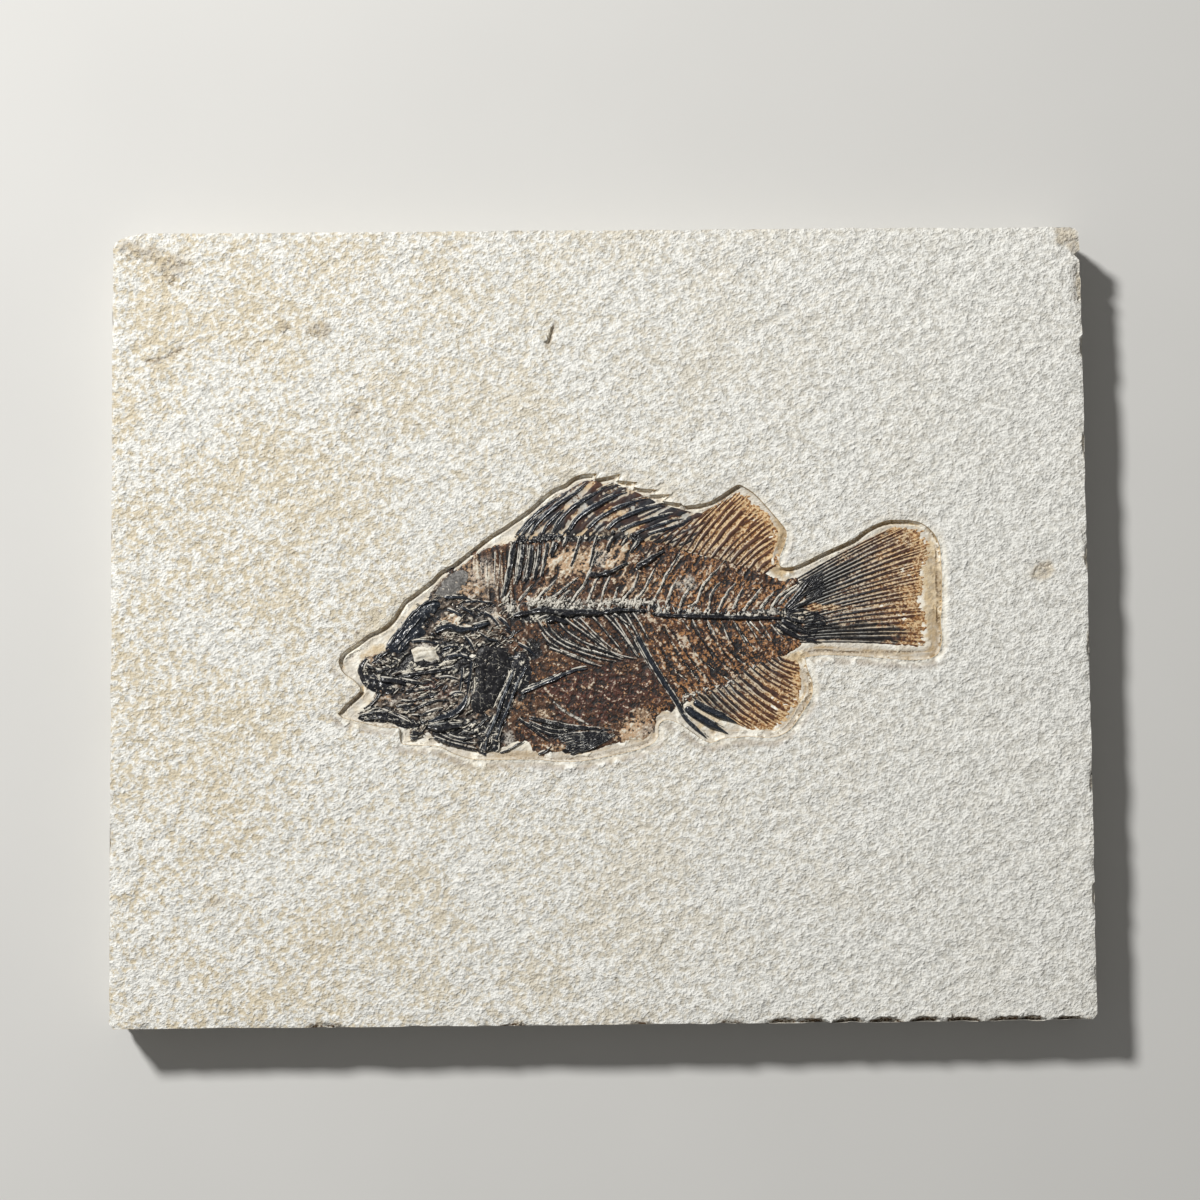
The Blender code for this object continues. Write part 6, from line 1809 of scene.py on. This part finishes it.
def branching_rays(across, reach, rays, root_half):
    """Height of the branching rays, and of a painted highlight along one side of each, from 0 to 1.

    Across runs over the fin, and reach from its root to its edge. A ray's half-width is a share of the gap.
    """
    place = across * rays
    place = place + 0.3 * noise(place, 0.0 * place, 1.3, 87) + 0.08 * noise(place, 9.0 * reach, 1.0, 89)
    number = np.floor(place)
    off = place - number - 0.5
    forked = ramp(0.62, 0.95, reach + 0.15 * noise(number, 0.0 * number, 1.0, 90))
    fork = 0.26 * forked
    half = root_half + (0.3 - root_half) * ramp(0.05, 0.4, reach) - 0.12 * forked
    distance = abs(abs(off) - fork)
    weight = 0.8 + 0.35 * noise(number + 0.5 * (off > 0.0), 5.0 * reach, 1.0, 88)
    ray = np.clip(1.0 - (distance / half) ** 2, 0.0, 1.0) * weight
    # gleam: a pale line beside each ray, on one side only, painted as a highlight
    gleam = np.clip(1.0 - ((distance - 1.25 * half) / (0.55 * half)) ** 2, 0.0, 1.0) * weight
    return np.clip(ray, 0.0, 1.0), gleam * (off < fork)


def fin_sheet(fin, ray_height):
    """A grid drawn out between a fin's root and its free edge, ridged by its rays."""
    sheet, unit = unit_grid(*fin["cells"])
    across, reach, _ = np.clip(unit.T, 0.0, 1.0)
    root = share_points(smooth_route(fin["root"], 0.4), across)
    edge = share_points(smooth_route(fin["edge"], 0.4), across)
    run = edge - root
    length = np.linalg.norm(run, axis=1)
    root = root - run * (fin["tuck"] / length)[:, None]
    run = edge - root
    length = np.linalg.norm(run, axis=1)
    ragged = 1.0 - (0.35 + 0.45 * noise(across * 60.0, 0 * across, 1.0, 81)) / length
    sideways = np.stack([-run[:, 1], run[:, 0]], 1) / length[:, None]
    bow = sideways * (fin["bow"] * np.sin(np.pi * reach))[:, None]
    spot = root + run * (reach * ragged)[:, None] + bow
    x, y = spot.T
    root_length = np.hypot(*np.diff(fin["root"], axis=0).T).sum()
    root_half = min(0.34, 0.27 * fin["rays"] / root_length)
    ray, gleam = branching_rays(across, reach, fin["rays"], root_half)
    split = np.floor(2.0 * across * fin["rays"])
    ray *= 1.0 - 0.7 * ramp(0.76, 0.96, reach + 0.1 * noise(x, y, 2.2, 98))
    joint = 0.5 + 0.5 * np.sin(5.0 * reach * length + 9.0 * noise(split, 0.0 * split, 0.7, 85))
    ray_cut = ray * (1.0 - 0.5 * ramp(0.4, 0.8, reach) * joint)
    ray_cut *= 1.0 + 0.5 * noise(x, y, 0.8, 86)
    crumb = (0.06 + 0.06 * reach) * noise(x, y, 0.55, 82) + 0.05 * noise(x, y, 1.6, 83)
    side_rim = np.minimum(np.minimum(across, 1.0 - across) * 40.0, (1.0 - reach) * 14.0)
    rise = SKIN_FACE - 0.04 - 0.12 * reach + crumb
    rise += ray_height * ray_cut * (1.0 - 0.4 * ramp(0.6, 1.0, reach))
    rise -= 0.22 * (1.0 - np.clip(side_rim, 0.0, 1.0))
    rise -= 0.45 * ramp(0.7 * fin["tuck"], 0.2 * fin["tuck"], reach * length)
    place_points(sheet, np.column_stack([x, y, rise]))
    return sheet, x, y, np.clip(ray_cut, 0.0, 1.0), gleam, reach


class MakeRayedFins(bpy.types.Operator):
    """Soft back fin, tail fin and anal fin, with their branching rays"""

    bl_idname = "fossil.rayed_fins"
    bl_label = "Rayed Fins"

    def execute(self, context):
        height = context.scene.fossil_sizes.fin_ray_height
        for name, fin in RAYED_FINS.items():
            sheet, x, y, ray, gleam, reach = fin_sheet(fin, height)
            bare = patch_field(x, y, FIN_GAPS, 97)
            ripe = np.clip(reach * fin["ripeness"][1] + fin["ripeness"][0], 0.0, 1.0)
            char = patch_field(x, y, FIN_CHAR, 84)
            paint(sheet, ray=ray * (1.0 - bare), gleam=gleam * (1.0 - bare),
                  reach=np.maximum(ripe, 0.6 * bare), char=char * (1.0 - bare))
            close_below(sheet, FIN_BED)
            sheet.name = name + "_rays"
            hand_over(sheet, "amber_fin", [name])
        return {"FINISHED"}


class SetTheStage(bpy.types.Operator):
    """Pale table top, soft studio light from the upper left, and the camera above the plate"""

    bl_idname = "fossil.stage"
    bl_label = "Stage"

    def execute(self, context):
        deselect()
        bpy.ops.mesh.primitive_plane_add(size=4.0, location=(0.0, 0.0, 0.0))
        table = context.object
        table.name = "table_top"
        table.data.materials.append(floor_finish())

        bpy.ops.object.light_add(type="AREA", location=LAMP_PLACE)
        lamp = context.object
        lamp.name = "window_light"
        lamp.data.shape = "DISK"
        lamp.data.size = LAMP_WIDTH
        lamp.data.energy = LAMP_POWER
        lamp.data.color = (1.0, 0.985, 0.955)
        aim = Vector((0.0, 0.0, FACE * MM)) - lamp.location
        lamp.rotation_euler = aim.to_track_quat("-Z", "Y").to_euler()

        world = bpy.data.worlds.new("soft_room")
        world.use_nodes = True
        background = world.node_tree.nodes["Background"]
        background.inputs["Color"].default_value = (1.0, 0.975, 0.93, 1.0)
        background.inputs["Strength"].default_value = ROOM_LIGHT
        context.scene.world = world
        context.scene.view_settings.view_transform = "Standard"

        bpy.ops.object.camera_add(location=CAMERA_PLACE)
        camera = context.object
        camera.name = "overhead_camera"
        camera.rotation_euler = [math.radians(angle) for angle in CAMERA_TURN]
        camera.data.lens = CAMERA_LENS
        camera.data.sensor_width = 36.0
        camera.data.clip_start = 0.01
        context.scene.camera = camera
        return {"FINISHED"}


OPERATORS = (
    MakeLimestonePlate, MakePressedSkin, MakeSkullBones, MakeJawBones, MakeGillBones, MakeSocketFill,
    MakeHeadSplinters, MakeBackbone, MakeRibs, MakeFinSupports, MakeFinSpines, MakeRayedFins, SetTheStage,
)


class FossilPanel(bpy.types.Panel):
    """Lists the pieces in the order they are made"""

    bl_idname = "VIEW3D_PT_fossil_fish"
    bl_label = "Fossil Fish"
    bl_space_type = "VIEW_3D"
    bl_region_type = "UI"
    bl_category = "Fossil Fish"

    def draw(self, context):
        column = self.layout.column(align=True)
        for operator in OPERATORS:
            column.operator(operator.bl_idname)
        box = self.layout.box()
        for name in FossilSizes.__annotations__:
            box.prop(context.scene.fossil_sizes, name)
        for name in FossilColours.__annotations__:
            box.prop(context.scene.fossil_colours, name)


CLASSES = (FossilColours, FossilSizes) + OPERATORS + (FossilPanel,)


def register():
    for entry in CLASSES:
        bpy.utils.register_class(entry)
    bpy.types.Scene.fossil_colours = PointerProperty(type=FossilColours)
    bpy.types.Scene.fossil_sizes = PointerProperty(type=FossilSizes)


def unregister():
    del bpy.types.Scene.fossil_sizes
    del bpy.types.Scene.fossil_colours
    for entry in reversed(CLASSES):
        bpy.utils.unregister_class(entry)


def main():
    register()
    for operator in OPERATORS:
        group, name = operator.bl_idname.split(".")
        getattr(getattr(bpy.ops, group), name)()
    deselect()


if __name__ == "__main__":
    main()
